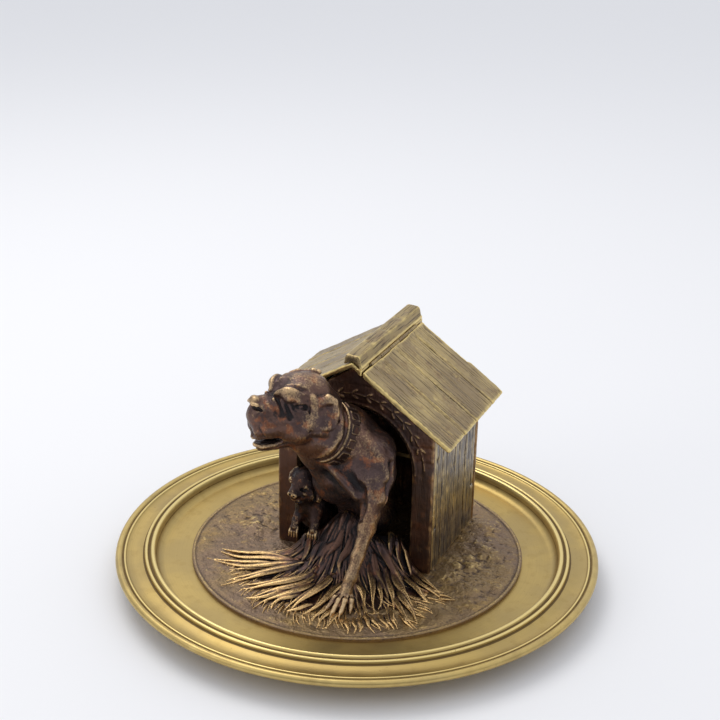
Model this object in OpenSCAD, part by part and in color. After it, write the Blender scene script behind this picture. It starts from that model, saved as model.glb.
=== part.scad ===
// Desk inkstand: a cast dog and puppy coming out of a kennel, on a relief plate in a turned brass dish.
// The left half of the kennel's roof is a lid over the ink pot.
// Millimetres, +Z up. Origin: centre of the dish at table level. The kennel's doorway faces -Y.

/* [Dish] */
// Overall diameter of the brass dish
dish_d = 250; // [236:2:280]
// Diameter of the raised ridge's crest
ridge_d = 212; // [200:2:214]
// Height of the ridge's crest above the dish's floor
ridge_rise = 6.7; // [5:0.1:9]
// Width of the rounded bead at the rim
rim_bead_w = 3.8; // [3:0.1:5]
// Thickness of the dish's floor
dish_floor_t = 3; // [2:0.1:4]
// Outer diameter of the foot ring
foot_d = 158; // [150:1:170]
// Width of the foot ring's resting face
foot_w = 4; // [3:0.5:7]
// Clear height under the dish's floor, inside the foot ring
foot_h = 7; // [6.5:0.1:10]

/* [Ground plate] */
// Diameter of the relief plate
plate_d = 172; // [168:1:186]
// Thickness of the relief plate
plate_t = 1.5; // [1.2:0.1:3]
// Height of the wire bead above the plate's ground
plate_bead_h = 0.5; // [0.3:0.1:1.2]
// Width of the wire bead
plate_bead_w = 1.8; // [1:0.1:3]

/* [Kennel] */
// Place of the kennel's middle, to the right of the dish's centre
kennel_x = 2; // [-4:1:4]
// Place of the kennel's front face
kennel_y = -11.4; // [-16:0.2:-8]
// Width over the side walls
kennel_w = 85.6; // [82:0.2:92]
// Depth over the front and back panels
kennel_d = 68; // [64:1:72]
// Thickness of the front and back panels
panel_t = 3.5; // [3:0.1:4.5]
// Thickness of the side walls
wall_t = 3; // [2.6:0.1:4]
// Width of the arched doorway
door_w = 62; // [58:1:66]
// Height of the doorway's crown above the ground
door_h = 85.5; // [80:0.5:88]
// Width of the joints between boards
board_gap = 0.6; // [0.3:0.1:1]
// Depth of the joints between boards
board_gap_depth = 0.5; // [0.2:0.1:1]

/* [Roof and lid] */
// Height of the roof's peak above the ground, without the cap
peak_h = 111.5; // [108:0.5:116]
// Pitch of both slopes, in degrees
pitch = 34.2; // [32:0.2:37]
// Distance from the kennel's middle to each eave
eave_half = 53.6; // [51:0.2:57]
// Thickness of the roof boards
roof_t = 3; // [2.4:0.1:4]
// How far the roof stands out in front of the kennel
front_overhang = 5.6; // [3:0.2:8]
// How far the roof stands out behind the kennel
back_overhang = 7.2; // [3:0.2:9]
// Distance from the kennel's middle to each foot of the ridge cap
cap_foot = 5.95; // [5:0.05:7.5]
// Height of the ridge cap's flat top above its feet
cap_rise = 7.4; // [6:0.1:9]
// How far the lid stands ajar at rest, in degrees
lid_ajar = 3.2; // [3.2:0.2:12]

/* [Hinge] */
// Length of the hinge
hinge_len = 60; // [40:5:64]
// Number of knuckles
knuckles = 5; // [3:2:7]
// Radius of the knuckles
knuckle_r = 0.9; // [0.8:0.05:1.2]
// Radius of the hinge pin
pin_r = 0.42; // [0.3:0.02:0.5]
// Radial clearance of the pin in the knuckles
pin_clear = 0.05; // [0.03:0.01:0.08]

/* [Ink pot and shelf] */
// Outer radius of the pot's body
pot_r = 15; // [12:0.5:16]
// Height of the pot under its flange
pot_h = 30; // [24:1:36]
// Thickness of the pot's glazed wall
pot_wall = 2.6; // [2:0.1:4]
// How far the pot's flange reaches past its body
pot_flange_w = 2.6; // [2:0.1:3.4]
// Thickness of the pot's flange
pot_flange_t = 2.5; // [2:0.1:4]
// Radial clearance of the pot in its shelf
pot_clear = 0.3; // [0.2:0.05:0.5]
// Distance from the kennel's middle to the pot's centre
pot_off = 17; // [15:0.5:19]
// Height of the shelf's top above the ground
shelf_h = 52.5; // [46:0.5:60]
// Thickness of the shelf
shelf_t = 2; // [1.5:0.1:3]
// Depth of the shelf, measured from the back panel
shelf_d = 39; // [38:0.5:42]
// Width and height of the ledges under the shelf
ledge_w = 4; // [3.6:0.1:5.5]

/* [Figures and straw] */
// Reach of the straw in front of the doorway
straw_reach = 67; // [62:1:69]
// Height of the straw heap in the doorway
straw_h = 32; // [26:0.5:36]
// Height of the straw where it spreads in front of the doorway
straw_front_h = 10; // [7:0.5:14]

/* [Fixings] */
// Width of the square corner posts
post_w = 6; // [5.6:0.2:8]
// Height of the corner posts
post_h = 68; // [64:1:72]
// Radius of the tie studs
stud_r = 1.4; // [1.2:0.1:1.8]
// Radius of the small screws' shanks
screw_r = 0.9; // [0.7:0.05:1.1]
// Radius of the small screws' heads
screw_head_r = 1.8; // [1.5:0.1:2.2]
// Height of the small screws' heads
screw_head_h = 1; // [0.8:0.1:1.4]
// How far a small screw bites into the panel behind
screw_bite = 1.8; // [1.2:0.1:2]

/* [Hidden] */
$fn = 64;
slip = 0.05;
eps = 0.01;
big = 400;

// Levels
floor_z = foot_h + dish_floor_t;
ground_z = floor_z + plate_t;
dish_r = dish_d / 2;
ridge_r = ridge_d / 2;
foot_r = foot_d / 2;
plate_r = plate_d / 2;

// Fixings from below
stud_up = 8;

// Kennel, in its own frame: middle of the doorway at ground level
half_w = kennel_w / 2;
inner_w = half_w - wall_t;
inner_y0 = panel_t;
inner_y1 = kennel_d - panel_t;
door_r = door_w / 2;
door_spring = door_h - door_r;

// Roof planes, in the same frame
roof_v = roof_t / cos(pitch);
function roof_top(d) = peak_h - abs(d) * tan(pitch);
function roof_under(d) = roof_top(d) - roof_v;
roof_y0 = -front_overhang;
roof_y1 = kennel_d + back_overhang;
roof_len = roof_y1 - roof_y0;
hinge_x = cap_foot;
hinge_z = roof_top(cap_foot);
hinge_y0 = (roof_y0 + roof_y1 - hinge_len) / 2;
knuckle_len = hinge_len / knuckles;
knuckle_gap = 0.25;
lid_gap = 0.25;
slope_gap = 0.15;
cove_r = knuckle_r + 0.1;
relief_r = roof_v + 0.35;

// Ink pot and shelf, in the same frame
pot_x = -pot_off;
pot_y = inner_y1 - shelf_d / 2;
shelf_y0 = inner_y1 - shelf_d;
ledge_len = shelf_d - post_w - 1;
rivet_r = 1;
rivet_head_r = 2;
rivet_head_h = 0.8;
cleat_w = 9;
cleat_d = 10;
cleat_wall = 3;
cleat_ys = [inner_y0 + 14, inner_y1 - 16];
shelf_room = 0.5;

// Figures, in the same frame: each form is a centre and a radius
skull = [-13.8, -25.6, 98.2, 13.4];
nape = [-10.3, -19.6, 90, 11.6];
brow_near = [-20.5, -34.2, 105.5, 7.2];
brow_far = [-26.4, -31.6, 107.8, 4.6];
muzzle = [-27.4, -41.4, 96.2, 7.4];
nose = [-31.8, -46.4, 100.8, 3.3];
lip = [-28.4, -43, 88.6, 6.6];
jowl = [-19, -37.4, 88.4, 9.8];
cheek = [-11.9, -30.6, 86.8, 11];
chin = [-26.6, -40.6, 77, 3.6];
jaw_root = [-15, -31, 79, 7];
ear_top = [-4.4, -36.4, 105, 4];
ear_mid = [0.2, -38, 97, 4.8];
ear_low = [-0.8, -37.2, 86.6, 3.8];
ear_far = [-18.5, -22.4, 109.6, 3.8];
neck_top = [-7, -22, 81.5, 13.4];
neck_base = [-1, -12, 75, 14];
throat = [-10.6, -19.6, 68.5, 8.6];
shoulder = [14, -10.4, 68.5, 11.6];
chest = [13, -12.6, 58, 12.6];
chest_left = [-6.5, -8, 47, 9.4];
withers = [2, shelf_y0 - shelf_room - 13, 63, 13];
rump = [4, shelf_y0 - shelf_room - 12, 24, 14];
elbow = [20, -20.6, 50, 6.6];
foreleg_top = [19.3, -26.6, 36, 4.4];
foreleg_low = [17.9, -33.6, 23.6, 3.6];
wrist = [17, -39.4, 14.4, 3.4];
paw = [15.4, -44.4, 6.2, 4.2];
toes = [[11.6, -48.8, 2.6, 2], [15.6, -50.6, 2.6, 2], [19.4, -49, 2.8, 2]];
rear_leg_top = [-3, 2, 42, 5.4];
rear_leg_foot = [-4, -1, 6, 4];
puppy_head = [-25, -9.4, 39.6, 6.8];
puppy_muzzle = [-27.4, -15, 39.4, 3.4];
puppy_ear_near = [-19.6, -10.6, 43.6, 2.4];
puppy_ear_far = [-27, -7.4, 45.4, 2.2];
puppy_body = [-20, -3.6, 25.5, 8.4];
puppy_rump = [-15, 4, 18, 7];
puppy_foot = [-15, 4, 6, 4];
puppy_paws = [[-27.6, -11.4, 16.6, 2.2], [-17.6, -12.4, 14.8, 2.4]];
boss_r = 7;
boss_x = 4;
boss_y = 8;
puppy_boss_r = 3.6;
puppy_boss_x = -18;
puppy_boss_y = -1;
figure_head_r = 3;
figure_head_h = 1.6;
figure_screw_r = 1.5 * screw_r;
figure_screw_up = 9;
figure_clear = 0.1 * screw_r;
figure_hole_r = screw_r * 2 + 2 * slip;

// Small round rises of earth: place from the dish's centre, radius and height
earth = [[56, 4, 13, 3.2], [60, 26, 14, 2.6], [52, 48, 12, 3], [34, 68, 13, 2.4], [4, 72, 12, 2.8],
         [-28, 68, 13, 2.4], [-52, 46, 15, 3], [-60, 20, 14, 2.4], [-56, -2, 12, 3.4],
         [-70, 6, 10, 1.8], [66, -12, 11, 2], [54, -8, 9, 3.6]];

// Outline helpers
function arc_points(x, y, r, a0, a1, steps) =
    [for (i = [0:steps]) let (a = a0 + (a1 - a0) * i / steps) [x + r * cos(a), y + r * sin(a)]];

module at_kennel() {
    translate([kennel_x, kennel_y, ground_z]) children();
}

// Puts an outline drawn in X and Z between y0 and y1
module across(y0, y1) {
    translate([0, y1, 0]) rotate([90, 0, 0]) linear_extrude(y1 - y0) children();
}

module bar_y(x, z, y0, y1, r) {
    translate([x, y0, z]) rotate([-90, 0, 0]) cylinder(r = r, h = y1 - y0);
}

// The four places where a corner post stands
module at_corners() {
    for (sx = [-1, 1], sy = [0, 1])
        translate([sx * (inner_w - post_w / 2), sy == 0 ? inner_y0 + post_w / 2 : inner_y1 - post_w / 2, 0])
            children();
}

// Turned dish: floor, cove, ridge with its grooves, hollow flange and rounded rim over a foot ring
crest_r = 1.2;
cove_w = 6;
cove_drop = 2.2;
groove_off = 1.7;
groove_w = 0.5;
groove_drop = 1.1;
second_off = 3.3;
second_r = 0.9;
second_drop = 1.4;
flange_w = 5;
flange_step = 1.6;
flange_dip = 0.5;
thin_bead_r = 0.6;
foot_fillet_r = 1.2;
foot_draft = 0.4;
under_w = 7;
under_in = 2;
under_out = 3;
under_thick = 0.8;
rim_lip = 0.2;
hole_clear = 2 * slip;
hole_fn = 32;

module dish() {
    crest = floor_z + ridge_rise;
    cove_x = ridge_r - cove_w;
    cove_r = crest - cove_drop - floor_z;
    bead_r = rim_bead_w / 2;
    rim_x = dish_r - bead_r;
    rim_y = floor_z + ridge_rise / 2;
    flange_x0 = ridge_r + flange_w;
    flange_x1 = dish_r - rim_bead_w - flange_step;
    flange_mid = (flange_x0 + flange_x1) / 2;
    flange_low = rim_y - 0.1;
    color([0.74, 0.64, 0.34])
    difference() {
        rotate_extrude($fn = 128)
            polygon(concat(
                [[0, foot_h], [0, floor_z], [cove_x, floor_z]],
                arc_points(cove_x, floor_z + cove_r, cove_r, -90, -20, 5),
                arc_points(ridge_r, crest - crest_r, crest_r, 150, 20, 5),
                [[ridge_r + groove_off, crest - groove_drop],
                 [ridge_r + groove_off + groove_w, crest - groove_drop]],
                arc_points(ridge_r + second_off, crest - second_drop, second_r, 150, 10, 4),
                [[flange_x0 - flange_dip, crest - cove_drop], [flange_x0, crest - cove_drop - 0.1],
                 [flange_x0 + flange_step, flange_low + flange_dip], [flange_mid, flange_low],
                 [flange_x1 - 1, flange_low + 0.4], [flange_x1, flange_low + second_r]],
                arc_points(flange_x1 + thin_bead_r, flange_low + second_r, thin_bead_r, 160, 0, 4),
                arc_points(rim_x, rim_y, bead_r, 145, -90, 10),
                [[rim_x - under_in, rim_y - bead_r - rim_lip],
                 [ridge_r + under_out, floor_z + thin_bead_r],
                 [ridge_r - under_in, floor_z - under_thick],
                 [ridge_r - under_w, foot_h], [foot_r + foot_fillet_r, foot_h]],
                arc_points(foot_r + foot_fillet_r, foot_h - foot_fillet_r, foot_fillet_r, 90, 180, 3),
                [[foot_r, 0], [foot_r - foot_w, 0], [foot_r - foot_w - foot_draft, foot_h]]));
        tie_holes(stud_r + hole_clear);
        figure_holes(figure_hole_r);
    }
}

module tie_holes(r) {
    translate([kennel_x, kennel_y, -1]) at_corners() cylinder(r = r, h = ground_z + 1 + eps, $fn = hole_fn);
}

module at_figures() {
    translate([kennel_x + boss_x, kennel_y + boss_y, 0]) children();
    translate([kennel_x + puppy_boss_x, kennel_y + puppy_boss_y, 0]) children();
}

module figure_holes(r) {
    at_figures() translate([0, 0, -1]) cylinder(r = r, h = ground_z + 1 + eps, $fn = hole_fn);
}

// Relief plate: thin disc with a wire bead, and low rises of earth round the kennel
module ground_plate() {
    bead_mid = plate_r - plate_bead_w / 2;
    bead_half = plate_bead_w / 2 - eps;
    color([0.52, 0.42, 0.32])
    difference() {
        union() {
            translate([0, 0, floor_z]) cylinder(r = plate_r, h = plate_t, $fn = 128);
            rotate_extrude($fn = 128)
                polygon(concat(
                    [[plate_r - plate_bead_w, floor_z + eps], [plate_r - eps, floor_z + eps]],
                    [for (a = [0:30:180])
                        [bead_mid + bead_half * cos(a), ground_z + plate_bead_h * sin(a)]]));
            for (e = earth) earth_rise(e[0], e[1], e[2], e[3]);
        }
        at_kennel() translate([-half_w, 0, 0]) cube([kennel_w, kennel_d, big]);
        tie_holes(stud_r + hole_clear);
        figure_holes(figure_hole_r);
    }
}

module earth_rise(x, y, r, h) {
    ball = (r * r + h * h) / (2 * h);
    intersection() {
        translate([x, y, ground_z + h - ball]) sphere(r = ball, $fn = 48);
        translate([x, y, ground_z - plate_t / 2]) cylinder(r = r + 1, h = h + plate_t);
    }
}

// One rounded form between two centres with radii
module limb(a, b, n = 14) {
    hull() {
        translate([a[0], a[1], a[2]]) sphere(r = a[3], $fn = n);
        translate([b[0], b[1], b[2]]) sphere(r = b[3], $fn = n);
    }
}

function between(a, b, t) = [for (i = [0:3]) a[i] * (1 - t) + b[i] * t];
function xyz(a) = [a[0], a[1], a[2]];
function sized(a, r) = [a[0], a[1], a[2], r];

// Collar: a flat band round the neck with square plates on it
collar_at = between(neck_top, neck_base, 0.35);
collar_dir = xyz(neck_base) - xyz(neck_top);
collar_r = 15.2;
collar_band = 7.5;
collar_plates = 14;
collar_plate = [1.6, 3.4, 4.6];
module collar_form() {
    yaw = atan2(collar_dir[1], collar_dir[0]);
    tilt = atan2(norm([collar_dir[0], collar_dir[1]]), collar_dir[2]);
    translate([collar_at[0], collar_at[1], collar_at[2]]) rotate([0, tilt, yaw]) {
        cylinder(r = collar_r, h = collar_band, center = true, $fn = 28);
        for (i = [0:collar_plates - 1])
            rotate([0, 0, i * 360 / collar_plates])
                translate([collar_r, 0, 0])
                    cube(collar_plate, center = true);
    }
}

module dog_form() {
    // head, turned to its right and lifted
    limb(skull, nape, 20);
    limb(skull, brow_near);
    limb(skull, brow_far, 12);
    limb(brow_near, muzzle);
    limb(brow_far, muzzle, 12);
    limb(muzzle, nose, 12);
    limb(muzzle, lip);
    limb(lip, jowl);
    limb(skull, cheek, 18);
    limb(jowl, cheek, 18);
    limb(chin, jaw_root, 12);
    limb(jaw_root, cheek);
    limb(ear_top, ear_mid, 12);
    limb(ear_mid, ear_low, 12);
    limb(sized(ear_top, 3), sized(skull, 6), 10);
    limb(ear_far, sized(skull, 6), 12);
    // neck, chest and body
    limb(nape, neck_top, 18);
    limb(neck_top, neck_base, 20);
    limb(throat, jaw_root);
    limb(throat, chest_left);
    limb(throat, neck_base);
    limb(neck_base, shoulder, 18);
    limb(shoulder, chest, 18);
    limb(chest, chest_left, 16);
    limb(neck_base, withers, 16);
    limb(chest, sized(withers, 11), 16);
    limb(withers, rump, 14);
    limb(chest_left, sized(rump, 10), 12);
    // standing foreleg with its paw, and the leg behind it
    limb(chest, elbow);
    limb(elbow, foreleg_top, 12);
    limb(foreleg_top, foreleg_low, 12);
    limb(foreleg_low, wrist, 12);
    limb(wrist, paw, 12);
    for (t = toes) limb(sized(paw, 3), t, 10);
    limb(rear_leg_top, rear_leg_foot, 10);
    limb(chest_left, rear_leg_top, 12);
    collar_form();
}

module mother_dog() {
    color([0.36, 0.25, 0.19])
    difference() {
        at_kennel() {
            dog_form();
            dog_boss(0);
        }
        at_kennel() translate([-half_w, -half_w * 2, -rump[3]]) cube([kennel_w, half_w * 4, rump[3]]);
        figure_pockets();
    }
}

module figure_pockets() {
    at_figures()
        translate([0, 0, ground_z - 1])
            cylinder(r = figure_screw_r + figure_clear, h = figure_screw_up + 1.5, $fn = 16);
}

// Blind bosses for the screws from below, going down from the dog's and the puppy's bodies
module dog_boss(z) {
    translate([boss_x, boss_y, z]) cylinder(r = boss_r, h = rump[2] - z, $fn = 24);
}

module puppy_boss(z) {
    translate([puppy_boss_x, puppy_boss_y, z]) cylinder(r = puppy_boss_r, h = puppy_body[2] - z, $fn = 20);
}

module puppy_form() {
    limb(puppy_head, puppy_muzzle, 12);
    limb(puppy_head, between(puppy_head, puppy_body, 0.5), 14);
    limb(between(puppy_head, puppy_body, 0.5), puppy_body, 14);
    limb(puppy_ear_near, sized(puppy_head, 3), 10);
    limb(puppy_ear_far, sized(puppy_head, 3), 10);
    limb(puppy_body, puppy_rump, 14);
    limb(sized(puppy_body, 4), puppy_paws[0], 10);
    limb(sized(puppy_body, 4), puppy_paws[1], 10);
    limb(puppy_rump, puppy_foot, 10);
}

module puppy() {
    color([0.3, 0.22, 0.18])
    difference() {
        at_kennel() {
            puppy_form();
            puppy_boss(0);
        }
        at_kennel() dog_form();
        figure_pockets();
    }
}

// Straw: a fan that spreads from the doorway, ridged and ending in ragged tips
fan_y = -4;
fan_inner = 25;
fan_sectors = 84;
fan_rings = 7;
fan_ridge = 1.7;
fan_swirl = 9;
fan_notch = 5;
fan_wave = 1.3;
fan_foot = 0.2;
heap_r = 16;
function fan_ease(t) = t < 0 ? 0 : t > 1 ? 1 : t * t * (3 - 2 * t);
function fan_out(a) = a < 180 ? 0 : fan_ease((a - 180) / 16) * fan_ease((360 - a) / 22);
function fan_high(i) = i % 2 == 0;
function fan_edge(i) = straw_reach + fan_wave * sin(i * 137) - (fan_high(i) ? 0 : fan_notch);
function fan_radius(i) = fan_inner + (fan_edge(i) - fan_inner) * fan_out(i * 360 / fan_sectors);
function fan_lift(i, t) = (fan_high(i) ? fan_ridge + 0.8 * sin(i * 53) : 0) * (1 - t) * min(1, 5 * t);
function fan_heap(r) = (straw_h - straw_front_h) * exp(-pow(r / heap_r, 2));
function fan_height(i, t, r) = straw_front_h * pow(1 - t, 1.3) + fan_heap(r) + fan_lift(i, t) + fan_foot;
function fan_point(i, j) = let (
    t = pow(j / fan_rings, 1.2),
    a = i * 360 / fan_sectors + fan_swirl * t * t,
    r = fan_radius(i) * t)
    [r * cos(a), fan_y + r * sin(a), j == fan_rings ? fan_foot : fan_height(i, t, r)];

module fan_mound() {
    rim = fan_rings * fan_sectors;
    points = concat([[0, fan_y, straw_h]],
        [for (j = [1:fan_rings], i = [0:fan_sectors - 1]) fan_point(i, j)],
        [for (i = [0:fan_sectors - 1]) let (p = fan_point(i, fan_rings)) [p[0], p[1], -1]],
        [[0, fan_y, -1]]);
    last = len(points) - 1;
    function at(i, j) = 1 + (j - 1) * fan_sectors + i % fan_sectors;
    faces = concat(
        [for (i = [0:fan_sectors - 1]) [0, at(i + 1, 1), at(i, 1)]],
        [for (j = [1:fan_rings], i = [0:fan_sectors - 1]) each
            [[at(i, j), at(i + 1, j), at(i + 1, j + 1)], [at(i, j), at(i + 1, j + 1), at(i, j + 1)]]],
        [for (i = [0:fan_sectors - 1]) [last, at(i, fan_rings + 1), at(i + 1, fan_rings + 1)]]);
    polyhedron(points, faces);
}

// Locks of straw that stand up beside the leg and at the left post
locks = [[[21, 1, 26, 4], [28, -13, 13, 3.4], [46, -21, 2, 1.6]],
         [[25, -6, 19, 3.4], [32, -18, 8, 2.8], [40, -34, 2, 1.5]],
         [[6, -8, 20, 4.4], [8, -22, 9, 3.4], [12, -44, 2, 1.6]],
         [[-7, -8, 18, 4.4], [-12, -22, 8, 3.2], [-22, -46, 2, 1.5]],
         [[-20, -8, 11, 3.6], [-42, -15, 5, 3], [-66, -17, 2.2, 1.4]],
         [[-20, -10, 10, 3.4], [-38, -26, 5, 2.6], [-58, -36, 2, 1.4]]];
module locks_form() {
    for (l = locks) {
        limb(l[0], l[1], 8);
        limb(l[1], l[2], 8);
    }
}

module straw_bed() {
    color([0.5, 0.38, 0.24])
    difference() {
        at_kennel() {
            fan_mound();
            locks_form();
        }
        at_kennel() translate([-big / 2, -big / 2, -20]) cube([big, big, 20]);
        at_kennel() for (s = [-1, 1])
            translate([s > 0 ? door_r : -half_w, 0, -1]) cube([half_w - door_r, kennel_d, door_spring]);
        at_kennel() dog_form();
        at_kennel() puppy_form();
        at_kennel() dog_boss(-1);
        at_kennel() puppy_boss(-1);
    }
}

// Kennel panels
module gable_outline() {
    polygon([[-half_w, 0], [half_w, 0], [half_w, roof_under(half_w)], [0, roof_under(0)],
             [-half_w, roof_under(half_w)]]);
}

module hinge_relief(y0, y1) {
    bar_y(hinge_x, hinge_z, y0, y1, relief_r);
}

screw_rows_y = [15, 55];
screw_rows_x = [24, 62];
post_joint_up = 8;
post_joint_z = door_spring + post_joint_up;
back_boards = [-0.327, -0.164, 0.012, 0.175, 0.339];

module kennel_front() {
    color([0.33, 0.2, 0.16])
    at_kennel() difference() {
        across(0, panel_t) difference() {
            gable_outline();
            translate([-door_r, -1]) square([door_w, door_spring + 1]);
            translate([0, door_spring]) circle(r = door_r, $fn = 96);
        }
        hinge_relief(-1, panel_t + 1);
        // joints where the gable board meets the posts
        for (s = [-1, 1])
            translate([s > 0 ? door_r - post_joint_up : -half_w - 1, -board_gap_depth, post_joint_z])
                cube([half_w - door_r + post_joint_up + 1, 2 * board_gap_depth, board_gap]);
        panel_screw_holes(screw_r + slip);
    }
}

module kennel_back() {
    color([0.33, 0.2, 0.16])
    at_kennel() difference() {
        across(inner_y1, kennel_d) gable_outline();
        hinge_relief(inner_y1 - 1, kennel_d + 1);
        for (f = back_boards)
            translate([f * kennel_w, kennel_d - board_gap_depth, -1])
                cube([board_gap, 2 * board_gap_depth, big]);
        panel_screw_holes(screw_r + slip);
    }
}

wall_boards = [0.172, 0.467, 0.73];
module side_wall(s) {
    difference() {
        across(inner_y0, inner_y1)
            polygon([[s * inner_w, 0], [s * half_w, 0], [s * half_w, roof_under(half_w)],
                     [s * inner_w, roof_under(inner_w)]]);
        for (f = wall_boards)
            translate([s * half_w - board_gap_depth, inner_y0 + f * (inner_y1 - inner_y0), -1])
                cube([2 * board_gap_depth, board_gap, big]);
        panel_screw_holes(screw_r + slip);
        ledge_screw_holes(screw_r + slip);
        roof_screw_holes(screw_r + slip);
    }
}

module kennel_left_wall() {
    color([0.5, 0.46, 0.38]) at_kennel() side_wall(-1);
}

module kennel_right_wall() {
    color([0.5, 0.46, 0.38]) at_kennel() side_wall(1);
}

// Posts in the corners take the panel screws and, from below, the tie studs
module corner_posts() {
    color([0.45, 0.4, 0.28])
    at_kennel() difference() {
        at_corners() translate([-post_w / 2, -post_w / 2, 0]) cube([post_w, post_w, post_h]);
        at_corners() translate([0, 0, -1]) cylinder(r = stud_r + slip, h = stud_up + 1.5, $fn = hole_fn);
        panel_screw_holes(screw_r + slip);
    }
}

tip_room = 0.1;
screw_fn = 24;
module screw_hole(r, len) {
    translate([0, 0, -eps]) cylinder(r = r, h = len + tip_room, $fn = screw_fn);
}

module panel_screw(len) {
    cylinder(r = screw_r, h = len, $fn = screw_fn);
    translate([0, 0, -screw_head_h]) cylinder(r = screw_head_r, h = screw_head_h, $fn = screw_fn);
}

// A screw's place: head on the post's inner face, pointing at the panel
module at_panel_screws() {
    for (sx = [-1, 1], sy = [0, 1]) {
        px = sx * (inner_w - post_w / 2);
        py = sy == 0 ? inner_y0 + post_w / 2 : inner_y1 - post_w / 2;
        for (z = screw_rows_y)
            translate([px, py + (sy == 0 ? post_w / 2 : -post_w / 2), z])
                rotate([sy == 0 ? 90 : -90, 0, 0])
                    children();
        for (z = screw_rows_x)
            translate([px - sx * post_w / 2, py, z]) rotate([0, sx * 90, 0]) children();
    }
}

module panel_screw_holes(r) {
    at_panel_screws() screw_hole(r, post_w + screw_bite);
}

module panel_screws() {
    color([0.6, 0.52, 0.3]) at_kennel() at_panel_screws() panel_screw(post_w + screw_bite);
}

// Roof boards: joints run from the ridge down to the eave
roof_boards = [0.27, 0.48, 0.78];
module roof_board_joints(s) {
    for (f = roof_boards)
        translate([0, roof_y0 + f * roof_len, peak_h])
            rotate([0, s * pitch, 0])
                translate([s > 0 ? 0 : -big / 2, 0, -board_gap_depth])
                    cube([big / 2, board_gap, 2 * board_gap_depth]);
}

// Cross-section of one slope from the distance d0 to the eave
eave_in = eave_half - roof_t * sin(pitch);
eave_low = roof_top(eave_half) - roof_t * cos(pitch);
module slope_outline(d0) {
    polygon([[d0, roof_top(d0)], [eave_half, roof_top(eave_half)], [eave_in, eave_low],
             [d0, roof_under(d0)]]);
}

function knuckle_y(i) = hinge_y0 + i * knuckle_len;
module knuckle_row(first) {
    for (i = [first:2:knuckles - 1])
        bar_y(hinge_x, hinge_z, knuckle_y(i) + knuckle_gap, knuckle_y(i + 1) - knuckle_gap, knuckle_r);
}

module knuckle_coves(first) {
    for (i = [first:2:knuckles - 1]) bar_y(hinge_x, hinge_z, knuckle_y(i), knuckle_y(i + 1), cove_r);
}

module pin_bore() {
    bar_y(hinge_x, hinge_z, hinge_y0 - 1, hinge_y0 + hinge_len + 1, pin_r + pin_clear);
}

module roof_right_slope() {
    color([0.6, 0.55, 0.38])
    at_kennel() difference() {
        union() {
            difference() {
                across(roof_y0, roof_y1) slope_outline(hinge_x + slope_gap);
                knuckle_coves(1);
                roof_board_joints(1);
            }
            knuckle_row(0);
        }
        pin_bore();
        roof_screw_holes(screw_r + slip);
    }
}

// Gussets that hold the fixed slope to the right wall
module roof_cleats() {
    color([0.45, 0.4, 0.28])
    at_kennel() difference() {
        for (y = cleat_ys)
            across(y, y + cleat_w)
                polygon([[inner_w, roof_under(inner_w) - cleat_d], [inner_w, roof_under(inner_w)],
                         [inner_w - cleat_d, roof_under(inner_w - cleat_d)],
                         [inner_w - cleat_d, roof_under(inner_w - cleat_d) - cleat_wall],
                         [inner_w - cleat_wall, roof_under(inner_w) - cleat_d]]);
        roof_screw_holes(screw_r + slip);
    }
}

cleat_screw_up = screw_head_r + 0.4;
cleat_screw_in = inner_w - cleat_d + screw_head_r + 0.8;
module at_roof_screws() {
    for (y = cleat_ys) {
        translate([inner_w - cleat_wall, y + cleat_w / 2, roof_under(inner_w) - cleat_d + cleat_screw_up])
            rotate([0, 90, 0])
                children();
        translate([cleat_screw_in, y + cleat_w / 2, roof_under(cleat_screw_in)])
            rotate([0, pitch, 0])
                translate([0, 0, -cleat_wall])
                    children();
    }
}

module roof_screw_holes(r) {
    at_roof_screws() screw_hole(r, cleat_wall + screw_bite);
    at_roof_screws()
        translate([0, 0, -4 * screw_head_h])
            cylinder(r = screw_head_r + slip, h = 4 * screw_head_h, $fn = screw_fn);
}

module roof_screws() {
    color([0.6, 0.52, 0.3]) at_kennel() at_roof_screws() panel_screw(cleat_wall + screw_bite);
}

// Everything on the lid is drawn shut, then turned to its rest about the hinge
module ajar() {
    at_kennel()
        translate([hinge_x, 0, hinge_z])
            rotate([0, lid_ajar, 0])
                translate([-hinge_x, 0, -hinge_z])
                    children();
}

module lid_outline() {
    d1 = hinge_x - lid_gap;
    polygon([[-eave_half, roof_top(eave_half)], [0, peak_h], [d1, roof_top(d1)], [d1, roof_under(d1)],
             [0, roof_under(0)], [-eave_in, eave_low]]);
}

rivet_ys = [0.18, 0.5, 0.82];
module at_rivets() {
    for (f = rivet_ys) translate([0, inner_y0 + f * (inner_y1 - inner_y0), roof_under(0)]) children();
}
rivet_len = roof_v + 2.4;
rivet_seat = 2;

module roof_lid() {
    color([0.6, 0.55, 0.38])
    ajar() difference() {
        union() {
            difference() {
                across(roof_y0, roof_y1) lid_outline();
                knuckle_coves(0);
                roof_board_joints(-1);
            }
            knuckle_row(1);
        }
        pin_bore();
        at_rivets() translate([0, 0, -1]) screw_hole(rivet_r + slip, rivet_len + 1);
        at_rivets()
            translate([0, 0, -rivet_seat])
                cylinder(r = rivet_head_r + slip, h = rivet_seat + eps, $fn = screw_fn);
    }
}

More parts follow.
